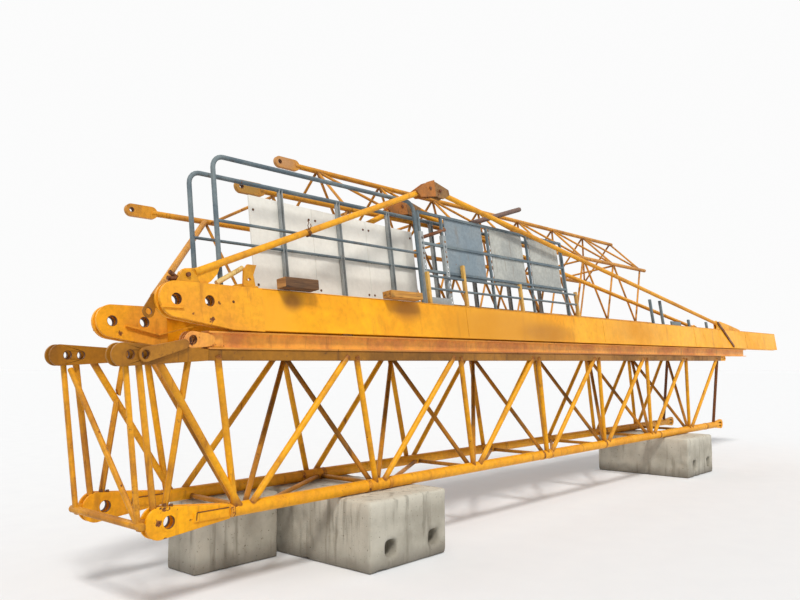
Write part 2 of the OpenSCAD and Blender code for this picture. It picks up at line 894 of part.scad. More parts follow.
light_bottom_w = girder_h + timber_s + light_chord_d / 2;
light_side_w = light_bottom_w + light_box_h;
light_ridge_w = light_side_w + light_ridge_h;

// Outline of an eye plate with two round ends of radius r, centred a distance l apart
module eye_outline(r, l) {
    for (x = [0, l]) translate([x, 0]) circle(r = r);
    translate([0, -r]) square([l, 2 * r]);
}

// A tube whose slotted end is welded over a flat eye plate
module light_chord(eye_x, v, w) {
    difference() {
        union() {
            tube_x(eye_x + eye_l, light_end, v, w, light_chord_d);
            translate([eye_x, v, w]) plate_y(-eye_t / 2, eye_t / 2) eye_outline(eye_r, eye_l);
        }
        hole_y(eye_x, v - 50, v + 50, w, eye_hole_d);
    }
}

module light_near_chord() {
    color(old_yellow) on_jib() light_chord(near_eye_x, light_v, light_side_w);
}

module light_far_chord() {
    color(old_yellow) on_jib() light_chord(far_eye_x, light_v + light_w, light_side_w);
}

module light_ridge_chord() {
    color(old_yellow) on_jib() light_chord(ridge_eye_x, light_v + light_w / 2, light_ridge_w);
}

module light_bottom_chords() {
    color(old_yellow) on_jib() {
        for (v = [light_v, light_v + light_w])
            tube_x(light_first - 60, light_end, v, light_bottom_w, light_chord_d);
    }
}

module light_chord_cut(v, w) {
    tube_x(light_first - 400, light_end + 10, v, w, light_chord_d);
}

module light_ridge_lattice() {
    ridge_v = light_v + light_w / 2;
    color(old_yellow) on_jib() difference() {
        for (v = [light_v, light_v + light_w])
            for (i = [1 : light_bays]) {
                bar([light_panel(i) + 130, ridge_v, light_ridge_w],
                    [light_panel(i), v, light_side_w], light_tube_d, 6);
                if (i < light_bays)
                    bar([light_panel(i) + 130, ridge_v, light_ridge_w],
                        [light_panel(i + 1), v, light_side_w], light_tube_d, 6);
            }
        light_chord_cut(light_v, light_side_w);
        light_chord_cut(light_v + light_w, light_side_w);
        light_chord_cut(ridge_v, light_ridge_w);
    }
}

module light_side_lattice() {
    color(old_yellow) on_jib() difference() {
        for (v = [light_v, light_v + light_w])
            for (i = [0 : light_bays - 1]) {
                middle = light_panel(i) + light_bay / 2;
                bar([light_panel(i), v, light_side_w], [middle, v, light_bottom_w],
                    light_tube_d, 6);
                bar([middle, v, light_bottom_w], [light_panel(i + 1), v, light_side_w],
                    light_tube_d, 6);
            }
        for (v = [light_v, light_v + light_w]) {
            light_chord_cut(v, light_side_w);
            light_chord_cut(v, light_bottom_w);
        }
    }
}

module light_cross_bars() {
    shift = 70;
    color(old_yellow) on_jib() difference() {
        for (i = [0 : light_bays - 1], w = [light_side_w - 12, light_bottom_w - 8])
            bar([light_panel(i) + shift, light_v, w],
                [light_panel(i) + shift, light_v + light_w, w], light_tube_d, 6);
        for (v = [light_v, light_v + light_w], w = [light_side_w, light_bottom_w])
            light_chord_cut(v, w);
    }
}

// Timbers across the girders under the light section, and blocks on the near girder
module timber_packers() {
    color(timber_brown) on_jib() {
        for (i = [0, 2, 5, light_bays - 1])
            translate([light_panel(i) + light_bay / 2 - 60, light_v - 40, girder_h])
                cube([120, light_w + 110, timber_s]);
        for (p = [[930, 380, 90], [2260, 480, 70]])
            translate([p[0], -120, girder_h]) cube([p[1], 120, p[2]]);
    }
}

// Concrete blocks

module concrete_blocks() {
    color(concrete_grey) crane() {
        for (x = long_block_x) difference() {
            translate([x, -near_reach, 0]) cube([block_l, block_w, block_h]);
            for (dx = [0.26, 0.82])
                translate([x + dx * block_l - pocket_s / 2, -near_reach - 10, 110])
                    cube([pocket_s, 210, pocket_s]);
        }
        translate([short_block_x, far_low_y - short_block_w / 2, 0])
            cube([short_block_l, short_block_w, block_h]);
    }
}

// Slanting tube from the light section's far side chord to the near girder ear
module front_brace() {
    brace_d = 60;
    color(old_yellow) on_jib() difference() {
        bar([light_panel(0) - 15, light_v + light_w - 15, light_side_w - 12],
            [girder_bore_x - 117, girder_ear_t + brace_d / 2, girder_h - girder_ear_r + 30],
            brace_d, 12);
        light_chord_cut(light_v + light_w, light_side_w);
    }
}

lower_chord(near_low_y);  // near_lower_chord
lower_chord(far_low_y);  // far_lower_chord
upper_chord(0);  // near_upper_chord
upper_chord(lattice_w);  // far_upper_chord
lower_ear(near_low_y);  // near_lower_ear
lower_ear(far_low_y);  // far_lower_ear
upper_ear(0);  // near_upper_ear
upper_ear(lattice_w);  // far_upper_ear
tip_end_ears();
side_lattice(0, near_low_y);  // near_side_lattice
side_lattice(lattice_w, far_low_y);  // far_side_lattice
inclined_lattice();
bottom_lattice();
top_lattice();
root_end_frame();
tip_end_frame();
carrier_beam();
packer_plates();
near_girder();
far_girder();
near_girder_ear();
far_girder_ear();
girder_cross_beams();
deck_plates();
near_railing();
inner_railing();
white_panels();
sign_frame();
sign_plates();
near_short_tie();
near_long_tie();
inner_short_tie();
inner_long_tie();
tie_apex_links();
tie_brackets();
light_near_chord();
light_far_chord();
light_ridge_chord();
light_bottom_chords();
light_ridge_lattice();
light_side_lattice();
light_cross_bars();
timber_packers();
concrete_blocks();
front_brace();
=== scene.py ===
import json
import math

import bmesh
import bpy
from mathutils import Matrix, Vector, noise


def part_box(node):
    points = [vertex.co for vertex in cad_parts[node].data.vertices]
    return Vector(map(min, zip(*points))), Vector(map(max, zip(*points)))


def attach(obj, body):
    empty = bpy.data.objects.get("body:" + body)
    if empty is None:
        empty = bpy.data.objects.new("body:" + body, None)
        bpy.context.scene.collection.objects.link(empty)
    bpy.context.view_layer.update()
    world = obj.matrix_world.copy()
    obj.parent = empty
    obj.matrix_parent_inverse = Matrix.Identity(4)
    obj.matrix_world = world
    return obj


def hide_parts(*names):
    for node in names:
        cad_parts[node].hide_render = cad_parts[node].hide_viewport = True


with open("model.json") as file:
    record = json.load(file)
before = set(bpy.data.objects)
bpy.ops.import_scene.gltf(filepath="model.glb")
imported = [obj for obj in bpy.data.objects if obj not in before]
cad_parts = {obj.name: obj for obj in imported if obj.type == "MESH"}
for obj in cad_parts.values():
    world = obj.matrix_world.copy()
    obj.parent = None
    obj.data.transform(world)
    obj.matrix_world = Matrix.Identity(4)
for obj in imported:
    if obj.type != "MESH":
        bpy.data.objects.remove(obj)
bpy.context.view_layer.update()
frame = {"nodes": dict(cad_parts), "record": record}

# Viewpoint, lamps and floor. The stack is seen from its pinned root end, a little above
# head height, looking along it. Lengths along the stack are counted from the lower ear's
# bore, widths from the near upper chord, and heights from the ground.
root_bore = next(m for m in frame["record"]["mounts"] if m["name"] == "lower_ear_bores")
section_w = 0.96
section_lean = 0.11
root_x = root_bore["pos_m"][0]
near_y = root_bore["pos_m"][1] - section_w / 2 - section_lean


def at(x, y, z):
    return Vector((x + root_x, y + near_y, z))


def put(tree, kind, inputs=None, **settings):
    """Adds a node, with its settings, its values and its links."""
    node = tree.nodes.new(kind)
    for key, value in settings.items():
        setattr(node, key, value)
    for socket, value in (inputs or {}).items():
        if isinstance(value, bpy.types.NodeSocket):
            tree.links.new(value, node.inputs[socket])
        else:
            node.inputs[socket].default_value = value
    return node


def link_in(thing):
    bpy.context.scene.collection.objects.link(thing)
    return thing


eye_at = at(-3.256, -5.1, 1.9)
heading = (0.7512, 0.6601)
tilt = math.radians(4.55)
look = Vector((heading[0] * math.cos(tilt), heading[1] * math.cos(tilt), math.sin(tilt)))
camera = link_in(bpy.data.objects.new("camera", bpy.data.cameras.new("camera")))
camera.location = eye_at
camera.rotation_euler = look.to_track_quat("-Z", "Y").to_euler()
camera.data.lens = 34.5
camera.data.sensor_width = 36
camera.data.clip_end = 400
bpy.context.scene.camera = camera
bpy.context.scene.view_settings.view_transform = "Standard"


def sun(name, aim, strength, colour, spread):
    """A lamp like a clouded sun: where it shines to, and how many degrees wide it looks."""
    light = bpy.data.lights.new(name, "SUN")
    light.energy = strength
    light.color = colour
    light.angle = math.radians(spread)
    thing = link_in(bpy.data.objects.new(name, light))
    thing.location = (0, 0, 12)
    thing.rotation_euler = Vector(aim).to_track_quat("-Z", "Y").to_euler()


sun("key_lamp", (0.42, 0.56, -0.85), 2.35, (1.0, 0.96, 0.9), 12)
sun("fill_lamp", (-0.7, 0.5, -0.35), 0.3, (0.9, 0.95, 1.0), 60)
sun("back_lamp", (0.2, -0.85, -0.55), 0.5, (1.0, 0.97, 0.93), 40)

world = bpy.data.worlds.new("studio")
world.use_nodes = True
bpy.context.scene.world = world
sky = world.node_tree
sky.nodes.clear()
rays = put(sky, "ShaderNodeLightPath")
seen = put(sky, "ShaderNodeMath", {0: rays.outputs["Is Camera Ray"],
                                   1: rays.outputs["Is Glossy Ray"]}, operation="MAXIMUM")
seen = put(sky, "ShaderNodeMath", {0: seen.outputs[0],
                                   1: rays.outputs["Is Transmission Ray"]}, operation="MAXIMUM")
soft = put(sky, "ShaderNodeBackground", {"Color": (1.0, 0.985, 0.96, 1), "Strength": 0.48})
white = put(sky, "ShaderNodeBackground", {"Color": (1, 1, 1, 1), "Strength": 0.97})
both = put(sky, "ShaderNodeMixShader", {0: seen.outputs[0], 1: soft.outputs[0],
                                        2: white.outputs[0]})
put(sky, "ShaderNodeOutputWorld", {"Surface": both.outputs[0]})


def new_finish(name):
    finish = bpy.data.materials.new(name)
    finish.use_nodes = True
    finish.node_tree.nodes.clear()
    return finish, finish.node_tree


def speckle(tree, where, scale, detail=4.0, rough=0.55, stretch=None):
    """Noise on the object's own coordinates, drawn out along an axis where stretch is given."""
    if stretch:
        where = put(tree, "ShaderNodeMapping", {"Vector": where, "Scale": stretch}).outputs[0]
    return put(tree, "ShaderNodeTexNoise", {"Vector": where, "Scale": scale, "Detail": detail,
                                            "Roughness": rough}).outputs["Fac"]


def linear(chip):
    """A paint chip's 0 to 255 values as the linear colour that a shader takes."""
    part = [c / 255 for c in chip]
    return [c / 12.92 if c < 0.04045 else ((c + 0.055) / 1.055) ** 2.4 for c in part] + [1.0]


def mixed(tree, amount, first, second):
    """Two colours in one, each a paint chip's values or what another node gives."""
    first, second = [linear(c) if isinstance(c, tuple) else c for c in (first, second)]
    return put(tree, "ShaderNodeMix", {0: amount, 6: first, 7: second}, data_type="RGBA"
               ).outputs[2]


floor_half = 160
floor_mesh = bpy.data.meshes.new("studio_floor")
floor_mesh.from_pydata([(x * floor_half, y * floor_half, 0)
                        for x, y in ((-1, -1), (1, -1), (1, 1), (-1, 1))], [], [(0, 1, 2, 3)])
floor_finish, tree = new_finish("studio_floor")
spot = put(tree, "ShaderNodeTexCoord").outputs["Object"]
tone = mixed(tree, speckle(tree, spot, 3.0, 3.0, 0.5), (228, 231, 236), (233, 236, 240))
pale = put(tree, "ShaderNodeBsdfPrincipled", {"Base Color": tone, "Roughness": 0.95})
put(tree, "ShaderNodeOutputMaterial", {"Surface": pale.outputs[0]})
floor_mesh.materials.append(floor_finish)
studio_floor = link_in(bpy.data.objects.new("studio_floor", floor_mesh))

# Concrete blocks. Two long blocks and a short one of plain cast concrete stand on the ground
# under the lower chords. Their edges are worn from lifting, their faces are pitted and
# stained by rain, and the long ones have square pockets for lifting forks.
slot_of = {s["node"]: s["material_slot"] for s in frame["record"]["subparts"]}


def settled(piece):
    """Turns a piece with its modifiers into a plain mesh."""
    graph = bpy.context.evaluated_depsgraph_get()
    shape = bpy.data.meshes.new_from_object(piece.evaluated_get(graph),
                                            preserve_all_data_layers=True, depsgraph=graph)
    piece.modifiers.clear()
    piece.data = shape
    shape.name = piece.name
    return piece


def merged_copy(node, name):
    """A copy of a solid with its loose triangles joined into whole faces.

    The faces with many corners are cut again, so that rounded edges can't fold them."""
    mesh = frame["nodes"][node].data.copy()
    work = bmesh.new()
    work.from_mesh(mesh)
    bmesh.ops.remove_doubles(work, verts=work.verts, dist=2e-5)
    bmesh.ops.dissolve_limit(work, angle_limit=math.radians(0.6), verts=work.verts,
                             edges=work.edges)
    bmesh.ops.triangulate(work, faces=[f for f in work.faces if len(f.verts) > 4])
    work.to_mesh(mesh)
    work.free()
    mesh.name = name
    mesh.materials.clear()
    return link_in(bpy.data.objects.new(name, mesh))


def fitted(piece, slot, *nodes):
    """The piece rides with the stack, and stands for the solids that it replaces."""
    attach(piece, "root")
    if nodes:
        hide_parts(*nodes)
    return piece


def shaded(tree, colour, rough, height, depth, strength, **values):
    """Closes a finish with its shader, fine relief and output."""
    relief = put(tree, "ShaderNodeBump", {"Strength": strength, "Distance": depth,
                                          "Height": height})
    shader = put(tree, "ShaderNodeBsdfPrincipled", {"Base Color": colour, "Roughness": rough,
                                                    "Normal": relief.outputs[0], **values})
    put(tree, "ShaderNodeOutputMaterial", {"Surface": shader.outputs[0]})


def ramp(tree, value, low, high, to_low=0.0, to_high=1.0):
    return put(tree, "ShaderNodeMapRange", {"Value": value, "From Min": low, "From Max": high,
                                            "To Min": to_low, "To Max": to_high},
               interpolation_type="SMOOTHSTEP").outputs[0]


def sum_of(tree, first, second, kind="ADD"):
    return put(tree, "ShaderNodeMath", {0: first, 1: second}, operation=kind).outputs[0]


cast_concrete, tree = new_finish("cast_concrete")
spot = put(tree, "ShaderNodeTexCoord").outputs["Object"]
height_up = put(tree, "ShaderNodeSeparateXYZ", {0: spot}).outputs["Z"]
rain_dark = (112, 106, 92)
tint = mixed(tree, ramp(tree, speckle(tree, spot, 2.6), 0.35, 0.68), (190, 186, 173),
             (162, 157, 144))
tint = mixed(tree, ramp(tree, height_up, 0.42, 0.65, 0.0, 0.65), tint, (216, 212, 198))
streak = speckle(tree, spot, 5.0, stretch=(2.2, 2.2, 0.25))
tint = mixed(tree, ramp(tree, streak, 0.52, 0.72, 0, 0.6), tint, rain_dark)
tint = mixed(tree, ramp(tree, speckle(tree, spot, 46.0, 3.0), 0.66, 0.72), tint, rain_dark)
tint = mixed(tree, ramp(tree, height_up, 0.2, 0.0, 0.0, 0.65), tint, (92, 84, 74))
pits = ramp(tree, speckle(tree, spot, 70.0, 5.0, 0.7), 0.3, 0.6)
shaded(tree, tint, ramp(tree, pits, 0, 1, 0.95, 0.82), pits, 0.004, 0.6)

blocks = merged_copy("concrete_blocks", "cast_blocks")
blocks.data.materials.append(cast_concrete)
step = blocks.modifiers.new("cells", "REMESH")
step.mode = "VOXEL"
step.voxel_size = 0.024
step.use_smooth_shade = True
settled(blocks)
block_lo, block_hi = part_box("concrete_blocks")
smooth = bmesh.new()
smooth.from_mesh(blocks.data)
for turn in range(2):
    bmesh.ops.smooth_vert(smooth, verts=smooth.verts, factor=0.5, use_axis_x=True,
                          use_axis_y=True, use_axis_z=True)
smooth.normal_update()
for corner in smooth.verts:
    place = corner.co.copy()
    worn = noise.fractal(place * 3.1, 1.0, 2.0, 4)
    chip = max(0.0, noise.noise(place * 7.3 + Vector((4, 9, 2))) - 0.28)
    corner.co = place - corner.normal * (0.004 + 0.0035 * worn + 0.03 * chip)
    for axis in range(3):
        corner.co[axis] = min(max(corner.co[axis], block_lo[axis]), block_hi[axis])
smooth.to_mesh(blocks.data)
smooth.free()
fitted(blocks, "concrete", "concrete_blocks")

# Lower chords. Two round steel tubes carry the section's underside. They are painted in
# crane yellow that has gone chalky, and have welded collars where lengths were joined and
# rust stains that run down from them.
lower_z = 0.697
upper_z = 1.947
near_low_y = section_lean
far_low_y = section_w + section_lean
low_ys = (near_low_y, far_low_y)
rust_dark = (66, 40, 27)
rust_light = (142, 82, 42)


def soft_spot(tree, spot, centre, reach):
    """How far a point lies inside a round patch, from 1 at its centre to 0 past its reach."""
    shift = put(tree, "ShaderNodeVectorMath", {0: spot, 1: tuple(centre)},
                operation="SUBTRACT").outputs[0]
    shift = put(tree, "ShaderNodeVectorMath", {0: shift, 1: tuple(1 / r for r in reach)},
                operation="MULTIPLY").outputs[0]
    far = put(tree, "ShaderNodeVectorMath", {0: shift}, operation="LENGTH").outputs["Value"]
    return ramp(tree, far, 1.0, 0.25)


def weathered_paint(name, fresh, chalky, stain, runs, chips, fine, ends=False, gloss=0.45,
                    patches=(), clusters=(), mottle=1.0):
    """Steel paint that has gone chalky in patches, with rust chips and stains that run down.

    Runs is the strength of the stains. A smaller value of chips gives more rust, a larger one
    of fine a closer pattern. Ends adds rust where a tube is welded, and mottle sets how much
    the tone varies. Patches are single stains, some of them also painted shadow, each with its
    centre, reach, colour and strength, and clusters are places, with centre and reach, where
    rust chips crowd together."""
    finish, tree = new_finish(name)
    spot = put(tree, "ShaderNodeTexCoord").outputs["Object"]
    clouds = speckle(tree, spot, 1.35 * fine, 6.0, 0.62)
    paint = mixed(tree, ramp(tree, clouds, 0.4, 0.66), fresh, chalky)
    grime = speckle(tree, spot, 17.0 * fine, 5.0, 0.65)
    paint = put(tree, "ShaderNodeHueSaturation", {
        "Value": ramp(tree, grime, 0.25, 0.75, 1 - 0.16 * mottle, 1 + 0.1 * mottle),
        "Color": paint}).outputs[0]
    streak = speckle(tree, spot, 1.0, 5.0, 0.6, stretch=(8.5 * fine, 8.5 * fine, 0.8 * fine))
    streak = ramp(tree, streak, 0.56, 0.74, 0.0, runs)
    paint = mixed(tree, streak, paint, stain)
    for centre, reach, colour, strength in patches:
        patch = sum_of(tree, soft_spot(tree, spot, centre, reach),
                       ramp(tree, grime, 0.2, 0.6, 0.7 * strength, strength), "MULTIPLY")
        paint = mixed(tree, patch, paint, colour)
    blot = speckle(tree, spot, 2.9 * fine, 4.0, 0.6)
    small = speckle(tree, spot, 21.0 * fine, 4.0, 0.62)
    rusty = sum_of(tree, sum_of(tree, small, 0.8, "MULTIPLY"),
                   sum_of(tree, blot, 0.52, "MULTIPLY"))
    for centre, reach in clusters:
        crowd = sum_of(tree, soft_spot(tree, spot, centre, reach), 0.22, "MULTIPLY")
        rusty = sum_of(tree, rusty, crowd)
    halo = ramp(tree, rusty, chips + 0.13, chips + 0.23, 0.0, 0.5)
    rusty = ramp(tree, rusty, chips + 0.2, chips + 0.24)
    if ends:
        end = put(tree, "ShaderNodeAttribute", attribute_name="from_end").outputs["Fac"]
        end = sum_of(tree, end, sum_of(tree, grime, 0.16, "MULTIPLY"), "SUBTRACT")
        halo = sum_of(tree, halo, ramp(tree, end, 0.06, -0.05, 0.0, 0.8), "MAXIMUM")
        rusty = sum_of(tree, rusty, ramp(tree, end, -0.03, -0.075, 0.0, 0.75), "MAXIMUM")
    rust = mixed(tree, ramp(tree, speckle(tree, spot, 55.0, 4.0), 0.35, 0.65), rust_dark,
                 rust_light)
    paint = mixed(tree, halo, paint, stain)
    paint = mixed(tree, rusty, paint, rust)
    rough = sum_of(tree, ramp(tree, clouds, 0.35, 0.7, gloss, gloss + 0.2),
                   sum_of(tree, rusty, 0.25, "MULTIPLY"))
    skin = sum_of(tree, sum_of(tree, grime, 0.35, "MULTIPLY"),
                  sum_of(tree, rusty, 0.6, "MULTIPLY"), "SUBTRACT")
    shaded(tree, paint, rough, skin, 0.0025, 0.45, **{"Specular IOR Level": 0.28})
    return finish


crane_fresh = (240, 168, 16)
crane_chalky = (220, 148, 34)
crane_stain = (150, 92, 28)
chord_paint = weathered_paint("chord_paint", crane_fresh, crane_chalky, crane_stain, 0.7,
                              0.68, 1.1)


def open_tree(name, *words, count=None):
    """A node tree that takes a bare mesh and the named sizes."""
    tree = bpy.data.node_groups.new(name, "GeometryNodeTree")
    socket = tree.interface.new_socket
    socket(name="Geometry", in_out="INPUT", socket_type="NodeSocketGeometry")
    for word in words:
        socket(name=word, in_out="INPUT", socket_type="NodeSocketFloat")
    if count:
        socket(name=count, in_out="INPUT", socket_type="NodeSocketInt")
    socket(name="Geometry", in_out="OUTPUT", socket_type="NodeSocketGeometry")
    return tree, put(tree, "NodeGroupInput").outputs


def close_tree(tree, skin, finish):
    """Ends a node tree: its instances are realized, and its faces get their finish."""
    skin = put(tree, "GeometryNodeRealizeInstances", {"Geometry": skin}).outputs[0]
    skin = put(tree, "GeometryNodeSetMaterial", {"Geometry": skin, "Material": finish}
               ).outputs[0]
    put(tree, "NodeGroupOutput", {"Geometry": skin})
    return tree


def stepped(tree, line, step):
    return put(tree, "GeometryNodeResampleCurve", {"Curve": line, "Length": step},
               mode="LENGTH").outputs[0]


def swept(tree, line, sides, radius):
    """The skin of a round bar along a curve."""
    ring = put(tree, "GeometryNodeCurvePrimitiveCircle", {"Resolution": sides,
                                                          "Radius": radius},
               mode="RADIUS").outputs[0]
    return put(tree, "GeometryNodeCurveToMesh", {"Curve": line, "Profile Curve": ring,
                                                 "Fill Caps": True}).outputs[0]


def tube_tree(name, finish, bent=False):
    """Round tubes along the edges of a bare mesh, marked with the distance to their ends."""
    tree, given = open_tree(name, "Radius", "Step", "Bend", count="Sides")
    line = put(tree, "GeometryNodeMeshToCurve", {"Mesh": given["Geometry"]}).outputs[0]
    if bent:
        line = put(tree, "GeometryNodeFilletCurve", {"Curve": line, "Radius": given["Bend"],
                                                     "Count": 7}, mode="POLY").outputs[0]
    line = stepped(tree, line, given["Step"])
    along = put(tree, "GeometryNodeSplineParameter").outputs["Length"]
    whole = put(tree, "GeometryNodeSplineLength").outputs["Length"]
    nearest = sum_of(tree, along, sum_of(tree, whole, along, "SUBTRACT"), "MINIMUM")
    line = put(tree, "GeometryNodeStoreNamedAttribute", {"Geometry": line, "Name": "from_end",
                                                         "Value": nearest},
               data_type="FLOAT", domain="POINT").outputs[0]
    skin = swept(tree, line, given["Sides"], given["Radius"])
    corners = put(tree, "GeometryNodeInputMeshFaceNeighbors").outputs["Vertex Count"]
    wall = sum_of(tree, corners, 5.0, "LESS_THAN")
    skin = put(tree, "GeometryNodeSetShadeSmooth", {"Geometry": skin, "Shade Smooth": wall}
               ).outputs[0]
    return close_tree(tree, skin, finish)


def grown(name, tree, points, edges, place=None, marks=None, **sizes):
    """Runs a node tree on a bare mesh and keeps the plain mesh that comes out."""
    mesh = bpy.data.meshes.new(name)
    mesh.from_pydata([tuple(p) for p in points], edges, ())
    for key, values in (marks or {}).items():
        layer = mesh.attributes.new(key, "FLOAT_VECTOR", "POINT")
        for i, value in enumerate(values):
            layer.data[i].vector = value
    piece = link_in(bpy.data.objects.new(name, mesh))
    step = piece.modifiers.new("grow", "NODES")
    step.node_group = tree
    names = {s.name: s.identifier for s in tree.interface.items_tree
             if s.item_type == "SOCKET" and s.in_out == "INPUT"}
    for key, value in sizes.items():
        step[names[key]] = value
    bpy.context.view_layer.update()
    settled(piece)
    if place is not None:
        piece.data.transform(place)
    return piece


def strung(runs, closed=False):
    """The points of several runs, and the edges that string each of them together."""
    points, edges = [], []
    for run in runs:
        first = len(points)
        points += [Vector(p) for p in run]
        edges += [(i, i + 1) for i in range(first, len(points) - 1)]
        if closed:
            edges.append((len(points) - 1, first))
    return points, edges


def tubes(name, tree, runs, radius, slot, *nodes, step=0.12, sides=18, bend=0.0, place=None):
    """One piece of round tubes, each run a list of points."""
    piece = grown(name, tree, *strung(runs), place=place, Radius=radius, Step=step, Bend=bend,
                  Sides=sides)
    return fitted(piece, slot, *nodes)


chord_tubes = tube_tree("chord_tubes", chord_paint)
chord_r = 0.057
chord_end = 11.71
ear_end = 0.554
collars = [0.58, 2.19, 2.49, 5.42, 5.62, 7.16, 9.1, 11.2]
for side, y in zip(("near", "far"), low_ys):
    tubes(f"{side}_lower_chord_tube", chord_tubes,
          [[at(ear_end, y, lower_z), at(chord_end, y, lower_z)]], chord_r, "crane_paint",
          f"{side}_lower_chord", sides=40)
collar_paint = weathered_paint("collar_paint", crane_chalky, crane_stain, rust_light, 0.8, 0.5,
                               1.6)
collar_tubes = tube_tree("collar_tubes", collar_paint)
tubes("chord_collars", collar_tubes,
      [[at(x - 0.02, y, lower_z), at(x + 0.02, y, lower_z)] for x in collars
       for y in low_ys], chord_r + 0.0025, "crane_paint", step=0.04, sides=40)


def bead_tree(name, finish):
    """Weld beads along the edges of a bare mesh, with the uneven ripples of hand welding."""
    tree, given = open_tree(name, "Radius", "Step")
    line = put(tree, "GeometryNodeMeshToCurve", {"Mesh": given["Geometry"]}).outputs[0]
    skin = swept(tree, stepped(tree, line, given["Step"]), 6, given["Radius"])
    here = put(tree, "GeometryNodeInputPosition").outputs[0]
    lump = put(tree, "ShaderNodeTexNoise", {"Vector": here, "Scale": 70.0}).outputs["Fac"]
    out = put(tree, "GeometryNodeInputNormal").outputs[0]
    swell = sum_of(tree, sum_of(tree, lump, 0.5, "SUBTRACT"), 0.006, "MULTIPLY")
    moved = put(tree, "ShaderNodeVectorMath", {0: out, "Scale": swell}, operation="SCALE")
    skin = put(tree, "GeometryNodeSetPosition", {"Geometry": skin,
                                                 "Offset": moved.outputs[0]}).outputs[0]
    skin = put(tree, "GeometryNodeSetShadeSmooth", {"Geometry": skin}).outputs[0]
    return close_tree(tree, skin, finish)


weld_paint = weathered_paint("weld_paint", (206, 140, 30), (188, 124, 40), crane_stain,
                             0.5, 0.56, 1.4)
weld_beads = bead_tree("weld_beads", weld_paint)


def beads(name, runs, radius, slot, closed=False, place=None, step=0.02):
    return fitted(grown(name, weld_beads, *strung(runs, closed), place=place, Radius=radius,
                        Step=step), slot)


def round_run(centre, axis, radius, count=28):
    """Points on a circle round an axis."""
    side = axis.orthogonal().normalized()
    up = axis.cross(side).normalized()
    return [centre + radius * (math.cos(a) * side + math.sin(a) * up)
            for a in (2 * math.pi * i / count for i in range(count))]


along = Vector((1, 0, 0))
beads("collar_welds", [round_run(at(x + d, y, lower_z), along, chord_r + 0.001)
                       for x in collars for d in (-0.021, 0.021) for y in low_ys], 0.004,
      "crane_paint", closed=True)

# Upper chords and the ears of both chords. The upper chords are square box sections. At the
# root end each chord ends in a fork of two flame-cut plates with bores for the connecting
# pins, and at the tip end in a single tongue. The plates are welded on and painted over.


def softened(node, finish, width, segments=2):
    """A solid with its edges rounded as rolled or ground steel has them."""
    piece = merged_copy(node, node + "_finished")
    piece.data.materials.append(finish)
    for face in piece.data.polygons:
        face.use_smooth = True
    piece.data.set_sharp_from_angle(angle=math.radians(38))
    edge = piece.modifiers.new("edges", "BEVEL")
    edge.width = width
    edge.segments = segments
    edge.limit_method = "ANGLE"
    edge.angle_limit = math.radians(34)
    edge.harden_normals = True
    settled(piece)
    return fitted(piece, slot_of[node], node)


# The upper chords' paint is dark brown: dirt, and painted shade under the beam and girders.
dirt_and_shade_paint = weathered_paint("dirt_and_shade_paint", (160, 106, 20), (124, 82, 26),
                              (80, 50, 24), 0.9, 0.66, 1.2)
for side in ("near", "far"):
    softened(f"{side}_upper_chord", dirt_and_shade_paint, 0.009, segments=3)
ear_rust = ((-0.05, 0.8, 0.1, 0.05), (0.1, 0.77, 0.12, 0.03), (0.19, 0.69, 0.03, 0.07),
            (-0.09, 0.7, 0.06, 0.05), (-0.03, 0.58, 0.03, 0.03))
ear_paint = weathered_paint(
    "ear_paint", (244, 170, 6), (222, 148, 22), (150, 92, 34), 0.5, 0.71, 1.5,
    clusters=[(at(x, 0.063, z), (long, 0.2, high)) for x, z, long, high in ear_rust])
# The upper ears' paint is dark olive brown: dirt, and painted shade under the beam and girders.
dirty_and_shaded_ear_paint = weathered_paint("dirty_and_shaded_ear_paint", (164, 108, 22), (130, 84, 26),
                                (86, 54, 26), 0.7, 0.66, 1.5)
for node in ("near_lower_ear", "far_lower_ear", "tip_end_ears"):
    softened(node, ear_paint, 0.0035)
for node in ("near_upper_ear", "far_upper_ear"):
    softened(node, dirty_and_shaded_ear_paint, 0.0035)


def ring_mesh(work, centre, axis, inner, outer, thick):
    """A flat ring round a bore, as a boss or a lining."""
    count = 40
    edge = 0.15 * thick
    shape = [(inner, 0), (inner, thick), (outer - edge, thick), (outer, thick - edge),
             (outer, 0)]
    rows = [[work.verts.new(p) for p in round_run(centre + axis * h, axis, r, count)]
            for r, h in shape]
    for low, high in zip(rows, rows[1:] + rows[:1]):
        for i in range(count):
            j = (i + 1) % count
            work.faces.new((low[i], low[j], high[j], high[i]))


def made(name, work, finish, slot, *nodes, angle=35, place=None):
    """Finishes a mesh built face by face, with its faces pointing outwards."""
    bmesh.ops.recalc_face_normals(work, faces=work.faces)
    mesh = bpy.data.meshes.new(name)
    work.to_mesh(mesh)
    work.free()
    if place is not None:
        mesh.transform(place)
    mesh.materials.append(finish)
    for face in mesh.polygons:
        face.use_smooth = True
    mesh.set_sharp_from_angle(angle=math.radians(angle))
    return fitted(link_in(bpy.data.objects.new(name, mesh)), slot, *nodes)


def plate_mesh(work, lo, hi, edge=0.003):
    """A plate or bar with ground edges, from its lowest to its highest corner."""
    corners = bmesh.ops.create_cube(work, size=1.0)["verts"]
    for corner in corners:
        corner.co = Vector([lo[k] if corner.co[k] < 0 else hi[k] for k in range(3)])
    rims = list({e for v in corners for e in v.link_edges})
    bmesh.ops.bevel(work, geom=rims, offset=edge, segments=2, affect="EDGES", profile=0.6)


def plain_bars(name, bars, finish, slot, *nodes, place=None):
    """One piece of plates or bars, each its lowest and highest corner and maybe its edge."""
    work = bmesh.new()
    for bar in bars:
        plate_mesh(work, *bar)
    return made(name, work, finish, slot, *nodes, place=place)


